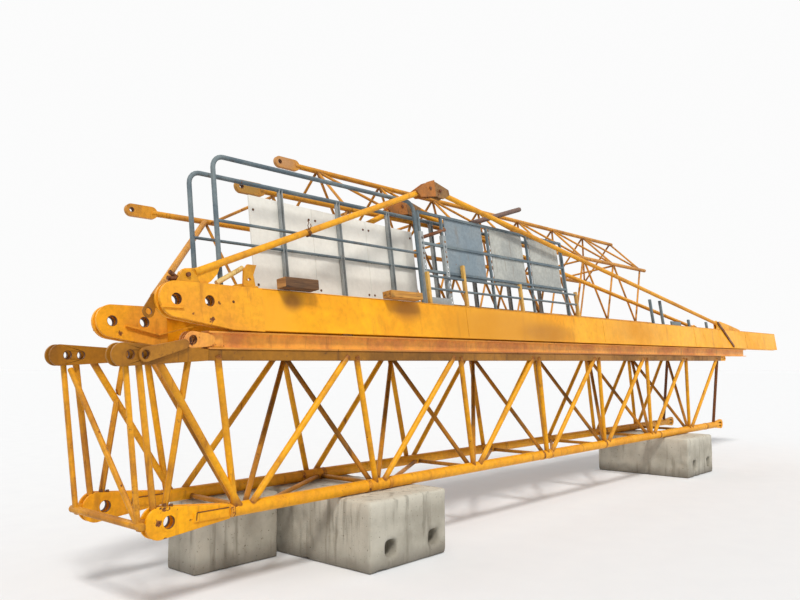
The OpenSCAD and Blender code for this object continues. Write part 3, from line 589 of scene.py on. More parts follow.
ear_half = 0.047
ear_plate = 0.022
lower_bore_r = 0.05
upper_bore_r = 0.035
upper_bores = (-0.412, -0.302)
# Dark rust for bolts, stops and thin lines; in the bores' linings its darkness is also painted
# shade.
rust_and_painted_shade = weathered_paint("rust_and_painted_shade", (96, 60, 34), (128, 82, 42), rust_dark, 0.5,
                            0.5, 2.2)
bores = [(at(0, y, lower_z), lower_bore_r) for y in low_ys]
bores += [(at(x, y, upper_z), upper_bore_r) for y in (0.0, section_w) for x in upper_bores]
work = bmesh.new()
for centre, radius in bores[:2]:
    for side in (-1, 1):
        out = Vector((0, side, 0))
        ring_mesh(work, centre + out * (ear_half - 0.001), out, radius + 0.0005, radius + 0.02,
                  0.004)
made("ear_bosses", work, ear_paint, "crane_paint")


def linings(name, bores, slot, place=None):
    """The inner walls of bores, a hair inside the plates' own walls, in dark rust that is also
    painted shade deep in the bores.

    Each bore has a centre, an axis, a radius, and along the axis a start and a depth."""
    work = bmesh.new()
    for centre, axis, radius, start, depth in bores:
        ring_mesh(work, centre + axis * start, axis, radius - 0.0012, radius + 0.0012, depth)
    made(name, work, rust_and_painted_shade, slot, place=place)


linings("ear_bore_linings", [(centre, Vector((0, side, 0)), radius,
                              ear_half - ear_plate - 0.0005, ear_plate + 0.001)
                             for centre, radius in bores for side in (-1, 1)], "crane_paint")
rust_and_shadow_lines = tube_tree("rust_and_shadow_lines", rust_and_painted_shade)
# Dark lines along the lower ears' raised channels are rust and a painted shadow line at the
# channel's edge.
channel_lines = []
for y in low_ys:
    for side in (-1, 1):
        out = y + side * 0.0595
        channel_lines += [[at(0.232, out, 0.675), at(0.228, out, 0.705), at(0.236, out, 0.734)],
                  [at(0.24, out, 0.7335), at(0.533, out, 0.7335)]]
tubes("ear_channel_rust_and_shadow_lines", rust_and_shadow_lines, channel_lines, 0.0045, "crane_paint", sides=6)
plain_bars("ear_stops", [(at(x - 0.013, y - 0.0455, z - 0.02), at(x + 0.013, y - 0.027, z + 0.012))
                         for y in low_ys
                         for x, z in ((-0.1, 0.803), (-0.035, 0.826), (0.02, 0.818))],
           rust_and_painted_shade, "crane_paint")


def bolt_tree(name, finish):
    """Hexagon heads with a washer, one on each point, turned to the point's own direction."""
    tree, given = open_tree(name, "Head", "Height")
    spots = put(tree, "GeometryNodeMeshToPoints", {"Mesh": given["Geometry"]}).outputs[0]
    head = put(tree, "GeometryNodeMeshCylinder", {"Vertices": 6, "Radius": given["Head"],
                                                  "Depth": given["Height"]}).outputs[0]
    lift = put(tree, "ShaderNodeCombineXYZ", {
        "Z": sum_of(tree, given["Height"], 0.6, "MULTIPLY")}).outputs[0]
    head = put(tree, "GeometryNodeTransform", {"Geometry": head, "Translation": lift}
               ).outputs[0]
    washer = put(tree, "GeometryNodeMeshCylinder", {
        "Vertices": 16, "Radius": sum_of(tree, given["Head"], 1.35, "MULTIPLY"),
        "Depth": sum_of(tree, given["Height"], 0.3, "MULTIPLY")}).outputs[0]
    bolt = put(tree, "GeometryNodeJoinGeometry")
    tree.links.new(head, bolt.inputs[0])
    tree.links.new(washer, bolt.inputs[0])
    facing = put(tree, "GeometryNodeInputNamedAttribute", {"Name": "facing"},
                 data_type="FLOAT_VECTOR").outputs[0]
    turned = put(tree, "FunctionNodeAlignRotationToVector", {"Vector": facing}, axis="Z"
                 ).outputs[0]
    spin = put(tree, "FunctionNodeRandomValue", {"Seed": 7, 2: 0.0, 3: 1.0}, data_type="FLOAT"
               ).outputs[1]
    spin = put(tree, "ShaderNodeCombineXYZ", {"Z": spin}).outputs[0]
    placed = put(tree, "GeometryNodeInstanceOnPoints", {"Points": spots,
                                                        "Instance": bolt.outputs[0],
                                                        "Rotation": turned}).outputs[0]
    placed = put(tree, "GeometryNodeRotateInstances", {"Instances": placed,
                                                       "Rotation": spin}).outputs[0]
    return close_tree(tree, placed, finish)


bolt_heads = bolt_tree("bolt_heads", rust_and_painted_shade)


def bolts(name, spots, slot, head, height, place):
    """Bolt heads at a list of places and the directions that they face."""
    return fitted(grown(name, bolt_heads, [p for p, d in spots], [], place=place,
                        marks={"facing": [d for p, d in spots]}, Head=head, Height=height),
                  slot)


near_out = Vector((0, -1, 0))

# Lattice of the section. Round tubes with coped ends run between the chords on both sides,
# slantwise through the inside, and across the top and the bottom. Most ends of the side,
# slanting and bottom tubes are welded all round, and the paint has failed first at the welds.
bay = 1.62
bays = 7
first_panel = 0.31
second_panel = 1.83
second_foot = 2.34
upper_nodes = [first_panel] + [second_panel + i * bay for i in range(bays)]
lower_nodes = [second_foot + (i - 1) * bay for i in range(bays)]
lattice_paint = weathered_paint("lattice_paint", (238, 168, 14), (208, 142, 32),
                                (146, 88, 32), 0.85, 0.655, 1.5, ends=True)
shaded_paint = weathered_paint("shaded_paint", (186, 122, 22), (136, 92, 34),
                               (78, 50, 26), 0.9, 0.63, 1.5, ends=True)
side_tubes = tube_tree("side_tubes", lattice_paint)
inner_tubes = tube_tree("inner_tubes", shaded_paint)
face_out = 0.042
upper_chord_half = 0.045
side_r = 0.0285
slant_r = 0.0255
plan_r = 0.0225


def in_round(y, z, radius):
    return lambda p: (p.y - near_y - y) ** 2 + (p.z - z) ** 2 < radius ** 2


def in_box(y, z, half_w, half_h):
    return lambda p: abs(p.y - near_y - y) < half_w and abs(p.z - z) < half_h


def coped_run(end, other, radius, inside):
    """The line where a tube's skin enters the chord that it is welded to."""
    way = (end - other).normalized()
    side = way.orthogonal().normalized()
    up = way.cross(side)
    back_off = 0.24
    stride = 0.005
    count = 20
    found = []
    for i in range(count + 1):
        a = 2 * math.pi * i / count
        start = end - way * back_off + radius * (math.cos(a) * side + math.sin(a) * up)
        line = (start + way * (stride * k) for k in range(60))
        found.append(next((spot for spot in line if inside(spot)), None))
    runs, now = [], []
    for hit in found + [None]:
        if hit is None:
            if len(now) > 2:
                runs.append(now)
            now = []
        else:
            now.append(hit)
    return runs


lower_wall = {y: in_round(y, lower_z, chord_r) for y in low_ys}
upper_wall = {y: in_box(y, upper_z, 0.05, upper_chord_half) for y in (0.0, section_w)}
weld_runs = []


def welded(end, other, radius, inside):
    weld_runs.extend(coped_run(end, other, radius, inside))


top_z = upper_z - 0.001
foot_z = lower_z + 0.01
for side, y, low_y, out in (("near", 0.0, near_low_y, -1), ("far", section_w, far_low_y, 1)):
    runs = []
    top_y = y + out * face_out
    foot_y = low_y + out * 0.02
    for i, x in enumerate(lower_nodes):
        left = at(upper_nodes[i] + 0.05, top_y, top_z)
        if i == 0:
            left = at(-0.19, y + out * 0.02, upper_z - 0.02)
        right = at(upper_nodes[i + 1] - 0.06, top_y, top_z)
        first_foot = at(x - 0.045, foot_y, foot_z)
        last_foot = at(x + 0.05, foot_y, foot_z)
        runs += [[left, first_foot], [last_foot, right]]
        welded(first_foot, left, side_r, lower_wall[low_y])
        welded(last_foot, right, side_r, lower_wall[low_y])
        welded(right, last_foot, side_r, upper_wall[y])
        if i:
            welded(left, first_foot, side_r, upper_wall[y])
    top = at(first_panel + 0.02, top_y, top_z)
    foot = at(lower_nodes[0] - 0.1, foot_y, foot_z)
    runs.append([top, foot])
    welded(top, foot, side_r, upper_wall[y])
    tubes(f"{side}_side_tubes", side_tubes, runs, side_r, "crane_paint",
          f"{side}_side_lattice", step=0.1)

near_in = near_low_y + 0.034
far_in = section_w - 0.033
runs = []
for i, x in enumerate(lower_nodes):
    for top_x, shift in ((upper_nodes[i], -0.03), (upper_nodes[i + 1], 0.03)):
        foot = at(x + shift, near_in, lower_z - 0.008)
        top = at(top_x, far_in, upper_z)
        runs.append([foot, top])
        welded(foot, top, slant_r, lower_wall[near_low_y])
        welded(top, foot, slant_r, upper_wall[section_w])
tubes("slanting_tubes", inner_tubes, runs, slant_r, "aged_paint", "inclined_lattice")

runs = []
plan_shift = 0.11
level = lower_z - 0.02
for i, x in enumerate(lower_nodes):
    x += plan_shift
    runs.append([at(x, near_low_y, level), at(x, far_low_y, level)])
    if i < bays - 1:
        runs.append([at(x, near_low_y, level), at(x + bay, far_low_y, level)])
for low, high in runs:
    welded(low, high, plan_r, lower_wall[near_low_y])
    welded(high, low, plan_r, lower_wall[far_low_y])
tubes("bottom_tubes", inner_tubes, runs, plan_r, "aged_paint", "bottom_lattice", sides=16)
runs = []
level = upper_z + 0.015
for x in upper_nodes[:-1]:
    x += plan_shift
    runs += [[at(x, 0, level), at(x, section_w, level)],
             [at(x, section_w, level), at(x + bay, 0, level)]]
tubes("top_tubes", inner_tubes, runs, plan_r, "aged_paint", "top_lattice", sides=16)

# End frames of the section. At the root end three posts on each side run from the upper
# ears down to the cross tube between the lower ears, whose tongues fill the ears' gaps.
# At the tip end one post stands on each side.
post_paint = weathered_paint("post_paint", (220, 152, 26), (178, 116, 36),
                             (122, 74, 34), 0.95, 0.63, 1.6)
softened("root_end_frame", post_paint, 0.002, segments=1)
softened("tip_end_frame", shaded_paint, 0.002, segments=1)
beads("lattice_welds", weld_runs, 0.0042, "crane_paint", step=0.018)

# Carrier beam and packers. A rolled I-beam in faded orange lies on the near upper chord, and
# a tapered link bar joins its round, rusty fork to the inner bore of the near upper ear. Thin
# steel plates pack up the far girder.


def arc(centre, radius, start, stop, count=14):
    return [(centre[0] + radius * math.cos(a), centre[1] + radius * math.sin(a))
            for a in (start + (stop - start) * i / count for i in range(count + 1))]


def belt(first, first_r, second, second_r):
    """The outline of a link bar: two round ends and the straight sides between them."""
    run = Vector(second) - Vector(first)
    way = math.atan2(run.y, run.x)
    spread = math.acos((first_r - second_r) / run.length)
    return (arc(first, first_r, way + spread, way + 2 * math.pi - spread)
            + arc(second, second_r, way - spread, way + spread))


def cut_plates(name, plates, finish, slot, *nodes, place, edge=0.0015):
    """Flame-cut plates, each an outline of (x, z) points, its holes and its two depths."""
    sides = 24
    work = bmesh.new()
    for outline, holes, low, high in plates:
        shape = bpy.data.curves.new(name, "CURVE")
        shape.dimensions = "2D"
        shape.fill_mode = "BOTH"
        shape.extrude = (high - low) / 2 - edge
        shape.bevel_depth = edge
        shape.bevel_resolution = 1
        shape.offset = -edge
        rounds = [arc((x, z), r, 0, 2 * math.pi * (1 - 1 / sides), sides - 1)
                  for x, z, r in holes]
        for run in [outline] + rounds:
            line = shape.splines.new("POLY")
            line.points.add(len(run) - 1)
            for point, (x, z) in zip(line.points, run):
                point.co = (x, z, 0, 1)
            line.use_cyclic_u = True
        drawn = bpy.data.objects.new(name, shape)
        mesh = bpy.data.meshes.new_from_object(drawn)
        mesh.transform(Matrix.Translation((0, (low + high) / 2, 0))
                       @ Matrix.Rotation(math.pi / 2, 4, "X"))
        work.from_mesh(mesh)
        bpy.data.objects.remove(drawn)
        bpy.data.curves.remove(shape)
        bpy.data.meshes.remove(mesh)
    bmesh.ops.remove_doubles(work, verts=work.verts, dist=1e-5)
    return made(name, work, finish, slot, *nodes, place=place, angle=18)


chord_top = upper_z + upper_chord_half
beam_h = 0.142
beam_top = chord_top + beam_h
fork_bore = (0.104, chord_top + beam_h / 2)
fork_bore_r = 0.036
cheek_gap = 0.027
cheek_t = 0.02
beam_paint = weathered_paint(
    "beam_paint", (246, 174, 66), (222, 146, 78), (140, 82, 40), 0.6, 0.7, 1.3,
    patches=[(at(6, 0, 2.0), (9, 0.2, 0.016), (128, 74, 44), 0.8)],
    clusters=[(at(0.1, 0, 2.06), (0.11, 0.2, 0.09)), (at(0.36, 0, 2.02), (0.2, 0.2, 0.03))])
softened("carrier_beam", beam_paint, 0.004)
raw_rust = weathered_paint("raw_rust", (132, 84, 50), (104, 66, 42), rust_dark, 0.4,
                           0.45, 2.4)
softened("packer_plates", raw_rust, 0.002)
upright = Matrix.Translation(at(0, 0, 0))
inner_bore = (upper_bores[1], upper_z)
link_paint = weathered_paint("link_paint", (172, 116, 34), (140, 90, 36),
                             (88, 56, 28), 0.7, 0.58, 1.8)
link_foot = (0.02, 2.028)
link_v = (-0.0705, -0.0475)
cut_plates("carrier_link", [(belt(inner_bore, 0.055, link_foot, 0.036),
                             [(*inner_bore, upper_bore_r)], *link_v)],
           link_paint, "faded_paint", place=upright, edge=0.003)
cut_plates("fork_cheeks", [(belt(fork_bore, 0.066, (0.25, fork_bore[1]), 0.05),
                            [(*fork_bore, fork_bore_r)], low, low + cheek_t)
                           for low in (-cheek_gap - cheek_t, cheek_gap)],
           beam_paint, "faded_paint", place=upright, edge=0.003)
linings("fork_bore_linings", [(at(fork_bore[0], 0, fork_bore[1]), Vector((0, side, 0)),
                               fork_bore_r - 0.0008, cheek_gap - 0.0005, cheek_t + 0.001)
                              for side in (-1, 1)], "faded_paint")
plain_bars("beam_stop", [(at(1.69, -0.062, beam_top - 0.002), at(1.81, -0.03, beam_top + 0.03))],
           raw_rust, "rusty_steel")
beads("beam_fork_welds", [[at(x, side * 0.026, chord_top + 0.018) for x in (0.255, 0.39)]
                          for side in (-1, 1)], 0.005, "faded_paint")
beam_joints = (1.63, 4.63, 7.9, 11.05)
tubes("beam_seams", rust_and_shadow_lines, [[at(x, -0.0602, chord_top + h) for h in (0, 0.014)]
                                 for x in beam_joints], 0.003, "faded_paint", sides=6)

# Counter-jib girders. Two deep plate girders of welded channel shape, open to the inside,
# lie side by side and lean to the far side. Their ears are doubled plates with two bores,
# a ledge below the outer bore and a doubler plate that ends in a weld seam.
girder_h = 0.36
girder_w = 1.04
girder_overhang = 0.08
flange_w = 0.11
packer_t = 0.012
roll = math.asin((beam_h - packer_t) / (girder_w - flange_w))
girder_z = beam_top + flange_w * math.sin(roll)
jib = (Matrix.Translation(at(0, -girder_overhang, girder_z))
       @ Matrix.Rotation(-roll, 4, "X"))


def on_girder(x, w, v=0.0):
    return jib @ Vector((x, v, w))


# The brown patches under the two timbers and further along the girder are dirt and painted shadow;
# the darker gold patches darken the paint over long stretches.
dirt_and_shadow_brown = (146, 90, 24)
darker_gold = (206, 138, 16)
girder_paint = weathered_paint(
    "girder_paint", (250, 176, 4), (238, 158, 16), (176, 108, 24), 0.5, 0.74, 0.75,
    gloss=0.4,
    patches=[(on_girder(0.8, 0.18), (0.5, 0.3, 0.6), (240, 166, 34), 0.9),
             (on_girder(1.09, 0.27), (0.16, 0.3, 0.13), dirt_and_shadow_brown, 0.8),
             (on_girder(2.6, 0.27), (0.34, 0.3, 0.17), dirt_and_shadow_brown, 0.7),
             (on_girder(4.3, 0.15), (1.9, 0.3, 0.4), darker_gold, 0.85),
             (on_girder(5.4, 0.1), (0.9, 0.3, 0.2), dirt_and_shadow_brown, 0.5),
             (on_girder(8.0, 0.2), (1.6, 0.3, 0.3), darker_gold, 0.6)])
girder_ear_paint = weathered_paint(
    "girder_ear_paint", (242, 167, 34), (226, 151, 44), (158, 96, 36), 0.6, 0.7, 1.3,
    clusters=[(on_girder(0.254, 0.069), (0.05, 0.2, 0.05)),
              (on_girder(0.33, 0.21), (0.03, 0.2, 0.03)),
              (on_girder(0.094, 0.117), (0.04, 0.2, 0.04)),
              (on_girder(0.0, 0.12, 1.0), (0.1, 0.2, 0.05))])
for side in ("near", "far"):
    softened(f"{side}_girder", girder_paint, 0.004)
    softened(f"{side}_girder_ear", girder_ear_paint, 0.004)
ear_bores = ((-0.053, 0.22), (0.242, 0.22))
ear_round = 0.14
ear_bore_r = 0.045
ear_leaf = 0.024
leaf_gap = 0.036
ear_face = (arc(ear_bores[0], ear_round, math.pi / 2, math.radians(261))
            + [(0.46, -0.002), (0.765, -0.009), (0.765, 0.354), (0.46, 0.358)])
ear_holes = [(x, w, ear_bore_r + 0.0005) for x, w in ear_bores]
cut_plates("girder_ear_doublers", [(ear_face, ear_holes, low, low + 0.006)
                                   for low in (-0.0065, girder_w + 0.0005)],
           girder_ear_paint, "crane_paint", place=jib)
ledge = 0.022
plain_bars("girder_ear_ledges", [((-0.19, -ledge, 0.146), (0.0, 0.0, 0.158)),
                                 ((-0.17, girder_w, 0.146), (0.0, girder_w + ledge, 0.158))],
           girder_ear_paint, "crane_paint", place=jib)
across = Vector((0, 1, 0))
leaf_step = ear_leaf + leaf_gap
linings("girder_bore_linings", [(Vector((x, v, w)), across, ear_bore_r, -0.0005, ear_leaf + 0.001)
                                for x, w in ear_bores
                                for v in (0, leaf_step, girder_w - ear_leaf - leaf_step,
                                          girder_w - ear_leaf)],
        "crane_paint", place=jib)
work = bmesh.new()
strip_v = girder_w - ear_leaf - leaf_step - 0.0005
for (x, w), (end_x, end_w) in (((0.06, 0.18), (0.365, 0.11)), ((0.365, 0.11), (0.8, 0.215))):
    lean = math.atan2(end_w - w, end_x - x)
    strip = bmesh.ops.create_cube(work, size=1.0)["verts"]
    run = math.hypot(end_x - x, end_w - w)
    for corner in strip:
        here = Vector((corner.co.x * run, corner.co.y * 0.03, corner.co.z * 0.012))
        corner.co = (Matrix.Rotation(-lean, 3, "Y") @ here
                     + Vector(((x + end_x) / 2, strip_v - 0.015, (w + end_w) / 2)))
made("far_ear_ledges", work, girder_ear_paint, "crane_paint", place=jib)
seam_x = [0.766, 3.62, 6.9, 10.4, 13.2]
girder_tip = 15.24
rim_w = girder_h - 0.008
face_v = (-0.0005, girder_w + 0.0005)
beads("girder_seams", [[(x, v, 0.02), (x, v, girder_h - 0.02)] for x in seam_x for v in face_v]
      + [[(0.46, v, rim_w), (girder_tip, v, rim_w)] for v in face_v], 0.0028, "crane_paint",
      place=jib, step=0.03)
bolts("girder_bolts", [(Vector((0.465, -0.006, 0.225)), near_out)], "crane_paint", 0.009,
      0.004, jib)

# Cross beams and deck of the counter-jib. Square box beams join the two girders, and thin
# steel deck plates lie between them, dusty and rusting where water stands.
deck_paint = weathered_paint("deck_paint", (168, 120, 58), (142, 108, 70),
                             (92, 62, 38), 0.5, 0.5, 1.2)
softened("girder_cross_beams", shaded_paint, 0.006)
softened("deck_plates", deck_paint, 0.0015, segments=1)

# Railings. Bent steel tubes painted blue-grey stand along the near side: a tall frame with a
# mid rail, low rails on short square posts, and behind them an inner railing on bolted channel
# posts. Two perforated angles stand beside the tall frame. The paint is worn and chipped.
rail_paint = weathered_paint("rail_paint", (88, 103, 112), (118, 130, 134),
                             (88, 70, 54), 0.4, 0.64, 2.0)
rail_tubes = tube_tree("rail_tubes", rail_paint, bent=True)
thin_tubes = tube_tree("thin_rail_tubes", rail_paint)
rail_v = 0.088
rail_r = 0.021
thin_rail_r = 0.0135
rail_bend = 0.11
rail_start, rail_stop = 0.42, 3.0
rail_top = girder_h + 1.13
frame_run = [(rail_start, rail_v, girder_h), (rail_start, rail_v, rail_top),
             (rail_stop, rail_v, rail_top), (rail_stop, rail_v, girder_h)]
tubes("near_rail_frame", rail_tubes, [frame_run], rail_r, "rail_paint", "near_railing",
      step=0.03, bend=rail_bend, place=jib)
low_rails = [[(start, rail_v, girder_h + h), (stop, rail_v, girder_h + h)]
             for start, stop, h in ((3.11, 6.4, 0.33), (3.11, 6.4, 0.19),
                                    (rail_start, rail_stop, 0.565))]
tubes("near_low_rails", thin_tubes, low_rails, thin_rail_r, "rail_paint", "near_railing",
      place=jib)
foot_t = 0.008
stub_paint = weathered_paint("stub_paint", (214, 172, 92), (190, 146, 78),
                             crane_stain, 0.6, 0.64, 2.0)
for name, finish, posts in (
        ("stub_posts", stub_paint, ((3.11, 0.37), (3.775, 0.5), (4.95, 0.37), (6.38, 0.37))),
        ("lone_posts", rail_paint, ((8.9, 0.42), (9.3, 0.42)))):
    bars = []
    for x, h in posts:
        bars += [((x - 0.02, rail_v - 0.02, girder_h), (x + 0.02, rail_v + 0.02, girder_h + h),
                  0.004),
                 ((x - 0.05, 0.022, girder_h), (x + 0.05, 0.109, girder_h + foot_t))]
    plain_bars(name, bars, finish, "rail_paint", "near_railing", place=jib)
plain_bars("girder_top_stubs",
           [((x - long / 2, 0.02, girder_h), (x + long / 2, 0.05, girder_h + h))
            for x, long, h in ((9.71, 0.4, 0.07), (10.31, 0.07, 0.13), (11.17, 0.07, 0.12))],
           rail_paint, "rail_paint", place=jib)

deck_top = girder_h - 0.008
inner_v = 0.35
inner_top = girder_h + 1.06
inner_x = [1.35 + 0.75 * i for i in range(8)]
inner_start = 0.36
inner_stop = inner_x[-1] + 0.04
inner_mid = 0.477
tubes("inner_rail_tube", rail_tubes,
      [[(inner_start, inner_v, deck_top), (inner_start, inner_v, inner_top),
        (inner_stop, inner_v, inner_top)]], rail_r, "rail_paint", "inner_railing", step=0.03,
      bend=rail_bend, place=jib)
tubes("inner_mid_rail", thin_tubes,
      [[(x, inner_v, girder_h + inner_mid) for x in (inner_start, inner_stop)]], thin_rail_r,
      "rail_paint", "inner_railing", place=jib)
galvanised = weathered_paint("galvanised", (146, 154, 157), (164, 168, 168),
                             (104, 96, 84), 0.35, 0.68, 2.2, gloss=0.4)
bars = []
for x in inner_x:
    out_v = inner_v + 0.018
    bars.append(((x - 0.02, inner_v + 0.012, deck_top), (x + 0.02, out_v, inner_top), 0.001))
    bars += [((x + a, inner_v - 0.021, deck_top), (x + b, out_v, inner_top), 0.001)
             for a, b in ((-0.0205, -0.0145), (0.0145, 0.0205))]
    bars.append(((x - 0.06, inner_v - 0.06, deck_top),
                 (x + 0.06, inner_v + 0.06, deck_top + foot_t)))
plain_bars("inner_posts", bars, galvanised, "rail_paint", "inner_railing", place=jib)
bolts("inner_post_bolts", [(Vector((x, inner_v + 0.0125, girder_h + h)), near_out)
                           for x in inner_x for h in (0.17, 0.33, inner_mid, 0.8, 0.92)],
      "rail_paint", 0.009, 0.008, jib)
angle_x = (3.082, 3.486)
angle_w = 0.06
angle_v = 0.1075
angle_top = girder_h + 0.83
slots = [girder_h + 0.06 + 0.058 * i for i in range(13)]
strips = [([(x, girder_h), (x + angle_w, girder_h), (x + angle_w, angle_top), (x, angle_top)],
           [(x + 0.034, w, 0.0155) for w in slots], angle_v - 0.004, angle_v) for x in angle_x]
cut_plates("perforated_angles", strips, galvanised, "rail_paint", place=jib, edge=0.0006)
plain_bars("angle_feet", [((x - 0.0005, angle_v, girder_h), (x + 0.0035, 0.15, angle_top), 0.001)
                          for x in angle_x]
           + [((3.06, 0.1, girder_h), (3.56, 0.16, girder_h + foot_t)),
              ((3.12, 0.104, girder_h + 0.02), (3.5, 0.109, girder_h + 0.1))],
           galvanised, "rail_paint", place=jib)
rust_bars = tube_tree("rust_bars", raw_rust)
tubes("loose_brace", rust_bars, [[(3.12, 0.126, 1.12), (3.57, 0.126, 1.269)]], 0.02,
      "rusty_steel", sides=12, place=jib)

# White panels. Thin coated sheets with folded rims are bolted to the far side of the inner
# railing. They have gone grey, are slightly rippled, and are faintly streaked by rain.
panel_coat = weathered_paint("panel_coat", (234, 233, 226), (222, 221, 214),
                             (184, 178, 162), 0.12, 0.82, 1.3, gloss=0.4, mottle=0.3)


def rippled_sheet(work, lo, hi, out_v, wave, seed, fall=0.0):
    """A thin sheet whose face waves a little, with its rims folded back.

    Its top edge falls by the height given."""
    cols, rows = 30, 24
    grid = []
    for i in range(cols + 1):
        line = []
        for k in range(rows + 1):
            x = lo[0] + (hi[0] - lo[0]) * i / cols
            z = lo[2] + (hi[2] - fall * i / cols - lo[2]) * k / rows
            rim = min(i, cols - i, k, rows - k) / 3
            lift = wave * min(1, rim) * (math.sin(i * 0.62 + seed)
                                         * 0.5 + noise.noise(Vector((x * 3, seed, z * 2.4))))
            line.append((x, z, lift))
        grid.append(line)
    back = out_v + (hi[1] - lo[1]) * (1 if out_v == lo[1] else -1)
    front = [[work.verts.new((x, out_v + 0.005 + lift, z)) for x, z, lift in line]
             for line in grid]
    rear = [[work.verts.new((x, back - 0.001, z)) for x, z, lift in line] for line in grid]
    for sheet, flip in ((front, False), (rear, True)):
        for i in range(cols):
            for k in range(rows):
                quad = (sheet[i][k], sheet[i + 1][k], sheet[i + 1][k + 1], sheet[i][k + 1])
                work.faces.new(quad[::-1] if flip else quad)
    rim = ([(i, 0) for i in range(cols)] + [(cols, k) for k in range(rows)]
           + [(i, rows) for i in range(cols, 0, -1)] + [(0, k) for k in range(rows, 0, -1)])
    for a, b in zip(rim, rim[1:] + rim[:1]):
        work.faces.new((front[a[0]][a[1]], rear[a[0]][a[1]], rear[b[0]][b[1]],
                        front[b[0]][b[1]]))


panel_v = (0.37, 0.392)
panel_z = (girder_h + 0.08, girder_h + 0.88)
panel_x = [1.0 + 0.76 * i for i in range(3)]
panel_l = 0.756
work = bmesh.new()
for i, x in enumerate(panel_x):
    rippled_sheet(work, (x, panel_v[0], panel_z[0]),
                  (x + panel_l, panel_v[1], panel_z[1] + 0.085 - 0.02 * i), panel_v[0],
                  0.0028, 1.7 * i, fall=0.02)
made("white_panel_sheets", work, panel_coat, "panel_sheet", "white_panels", place=jib)
bolts("panel_bolts", [(Vector((x + dx, panel_v[0] + 0.005, z)), near_out) for x in panel_x
                      for dx in (0.04, panel_l - 0.04)
                      for z in (panel_z[0] + 0.05, girder_h + 0.48, panel_z[1] - 0.05)],
      "panel_sheet", 0.009, 0.007, jib)

# Sign frame and sign plates. Light steel angles and flat bars stand behind the near railing
# and carry three bare sheet plates, the first blue-grey and the others a paler grey.
softened("sign_frame", rail_paint, 0.003)
sign_x = [3.58 + 0.895 * i for i in range(3)]
sign_w = 0.72
sign_z = (girder_h + 0.34, girder_h + 1.06)
sign_v = 0.139
for i, x in enumerate(sign_x):
    fresh, dull = (((122, 137, 147), (138, 148, 154)) if i == 0 else
                   ((178, 180, 174), (160, 163, 160)))
    coat = weathered_paint(f"sign_coat_{i + 1}", fresh, dull, (126, 108, 88), 0.4, 0.68,
                           1.6, gloss=0.42)
    work = bmesh.new()
    rippled_sheet(work, (x, sign_v, sign_z[0]), (x + sign_w, sign_v + 0.006, sign_z[1]),
                  sign_v - 0.004, 0.0016, 2.3 * i + 5)
    made(f"sign_sheet_{i + 1}", work, coat, "sign_plate", "sign_plates", place=jib)
bolts("sign_bolts", [(Vector((x + dx, sign_v, z)), near_out) for x in sign_x
                     for dx in (0.03, sign_w - 0.03) for z in
                     (sign_z[0] + 0.06, girder_h + 0.68, sign_z[1] - 0.05)], "sign_plate",
      0.008, 0.006, jib)

# Tie bars. Round steel bars with flat eyes are pinned at the girder and folded down on it, a
# short and a long one on each side of the sign frame. Flame-cut forks hold their ends at the
# apex, bare rusty pins go through, and a twist of twine is tied round the near short bar.
tie_paint = weathered_paint("tie_paint", (236, 166, 24), (210, 144, 44), crane_stain,
                            0.5, 0.68, 1.6)
for node in ("near_short_tie", "near_long_tie", "inner_short_tie", "inner_long_tie"):
    softened(node, tie_paint, 0.004)
bracket_paint = weathered_paint("bracket_paint", (224, 156, 28), (196, 134, 38),
                                (118, 72, 32), 0.7, 0.64, 1.8)
fork_paint = weathered_paint("fork_paint", (176, 108, 40), (140, 92, 48),
                             (84, 54, 32), 0.7, 0.58, 2.0)
old_fork_paint = weathered_paint("old_fork_paint", (142, 104, 58), (118, 82, 46),
                                 (76, 50, 32), 0.7, 0.58, 2.0)
near_tie_v = 0.032
inner_tie_v = 0.46
tie_root = (0.06, girder_h + 0.055)
tie_tip = (11.7, girder_h + 0.11)
inner_root = (0.85, deck_top + 0.085)
inner_tip = (11.7, deck_top + 0.11)
near_apex = (3.3, girder_h + 1.3)
inner_apex = (3.3, girder_h + 1.21)
apexes = ((near_apex, near_tie_v), (inner_apex, inner_tie_v))
tie_feet = ((tie_root, near_tie_v, girder_h), (tie_tip, near_tie_v, girder_h),
            (inner_root, inner_tie_v, deck_top), (inner_tip, inner_tie_v, deck_top))


def leaves(v, gap=0.016):
    """The depths of two plates that stand on both sides of an eye."""
    thick = 0.014
    return [(v - gap - thick, v - gap), (v + gap, v + gap + thick)]


plates = []
for (x, w), v, foot in tie_feet:
    shape = [(x - 0.1, foot), (x + 0.11, foot), (x + 0.05, w + 0.034), (x - 0.045, w + 0.034)]
    plates += [(shape, [], low, high) for low, high in leaves(v)]
lug_x = 0.66
lug = [(lug_x + x, girder_h + w) for x, w in
       ((-0.062, 0.014), (0.062, 0.014), (0.046, 0.11), (0.085, 0.2), (-0.005, 0.2),
        (-0.045, 0.15))]
plates.append((lug, [(lug_x, girder_h + 0.07, 0.015)], near_tie_v - 0.012, near_tie_v + 0.012))
plates.append(([(lug_x - 0.075, girder_h), (lug_x + 0.075, girder_h),
                (lug_x + 0.075, girder_h + 0.014), (lug_x - 0.075, girder_h + 0.014)], [],
               near_tie_v - 0.03, near_tie_v + 0.03))
cut_plates("tie_bracket_plates", plates, bracket_paint, "rusty_steel", "tie_brackets", place=jib)
root_gusset = [(-0.01, 0.362), (0.25, 0.362), (0.288, 0.388), (0.35, 0.45), (0.395, 0.55),
               (0.27, 0.503), (0.06, 0.45), (-0.005, 0.43)]
tip_gusset = [(11.72, 0.362), (13.0, 0.362), (13.0, 0.385), (12.45, 0.46), (11.9, 0.52),
              (11.75, 0.5)]
cut_plates("tie_gussets", [(shape, [], near_tie_v - 0.008, near_tie_v + 0.008)
                           for shape in (root_gusset, tip_gusset)],
           tie_paint, "crane_paint", place=jib)
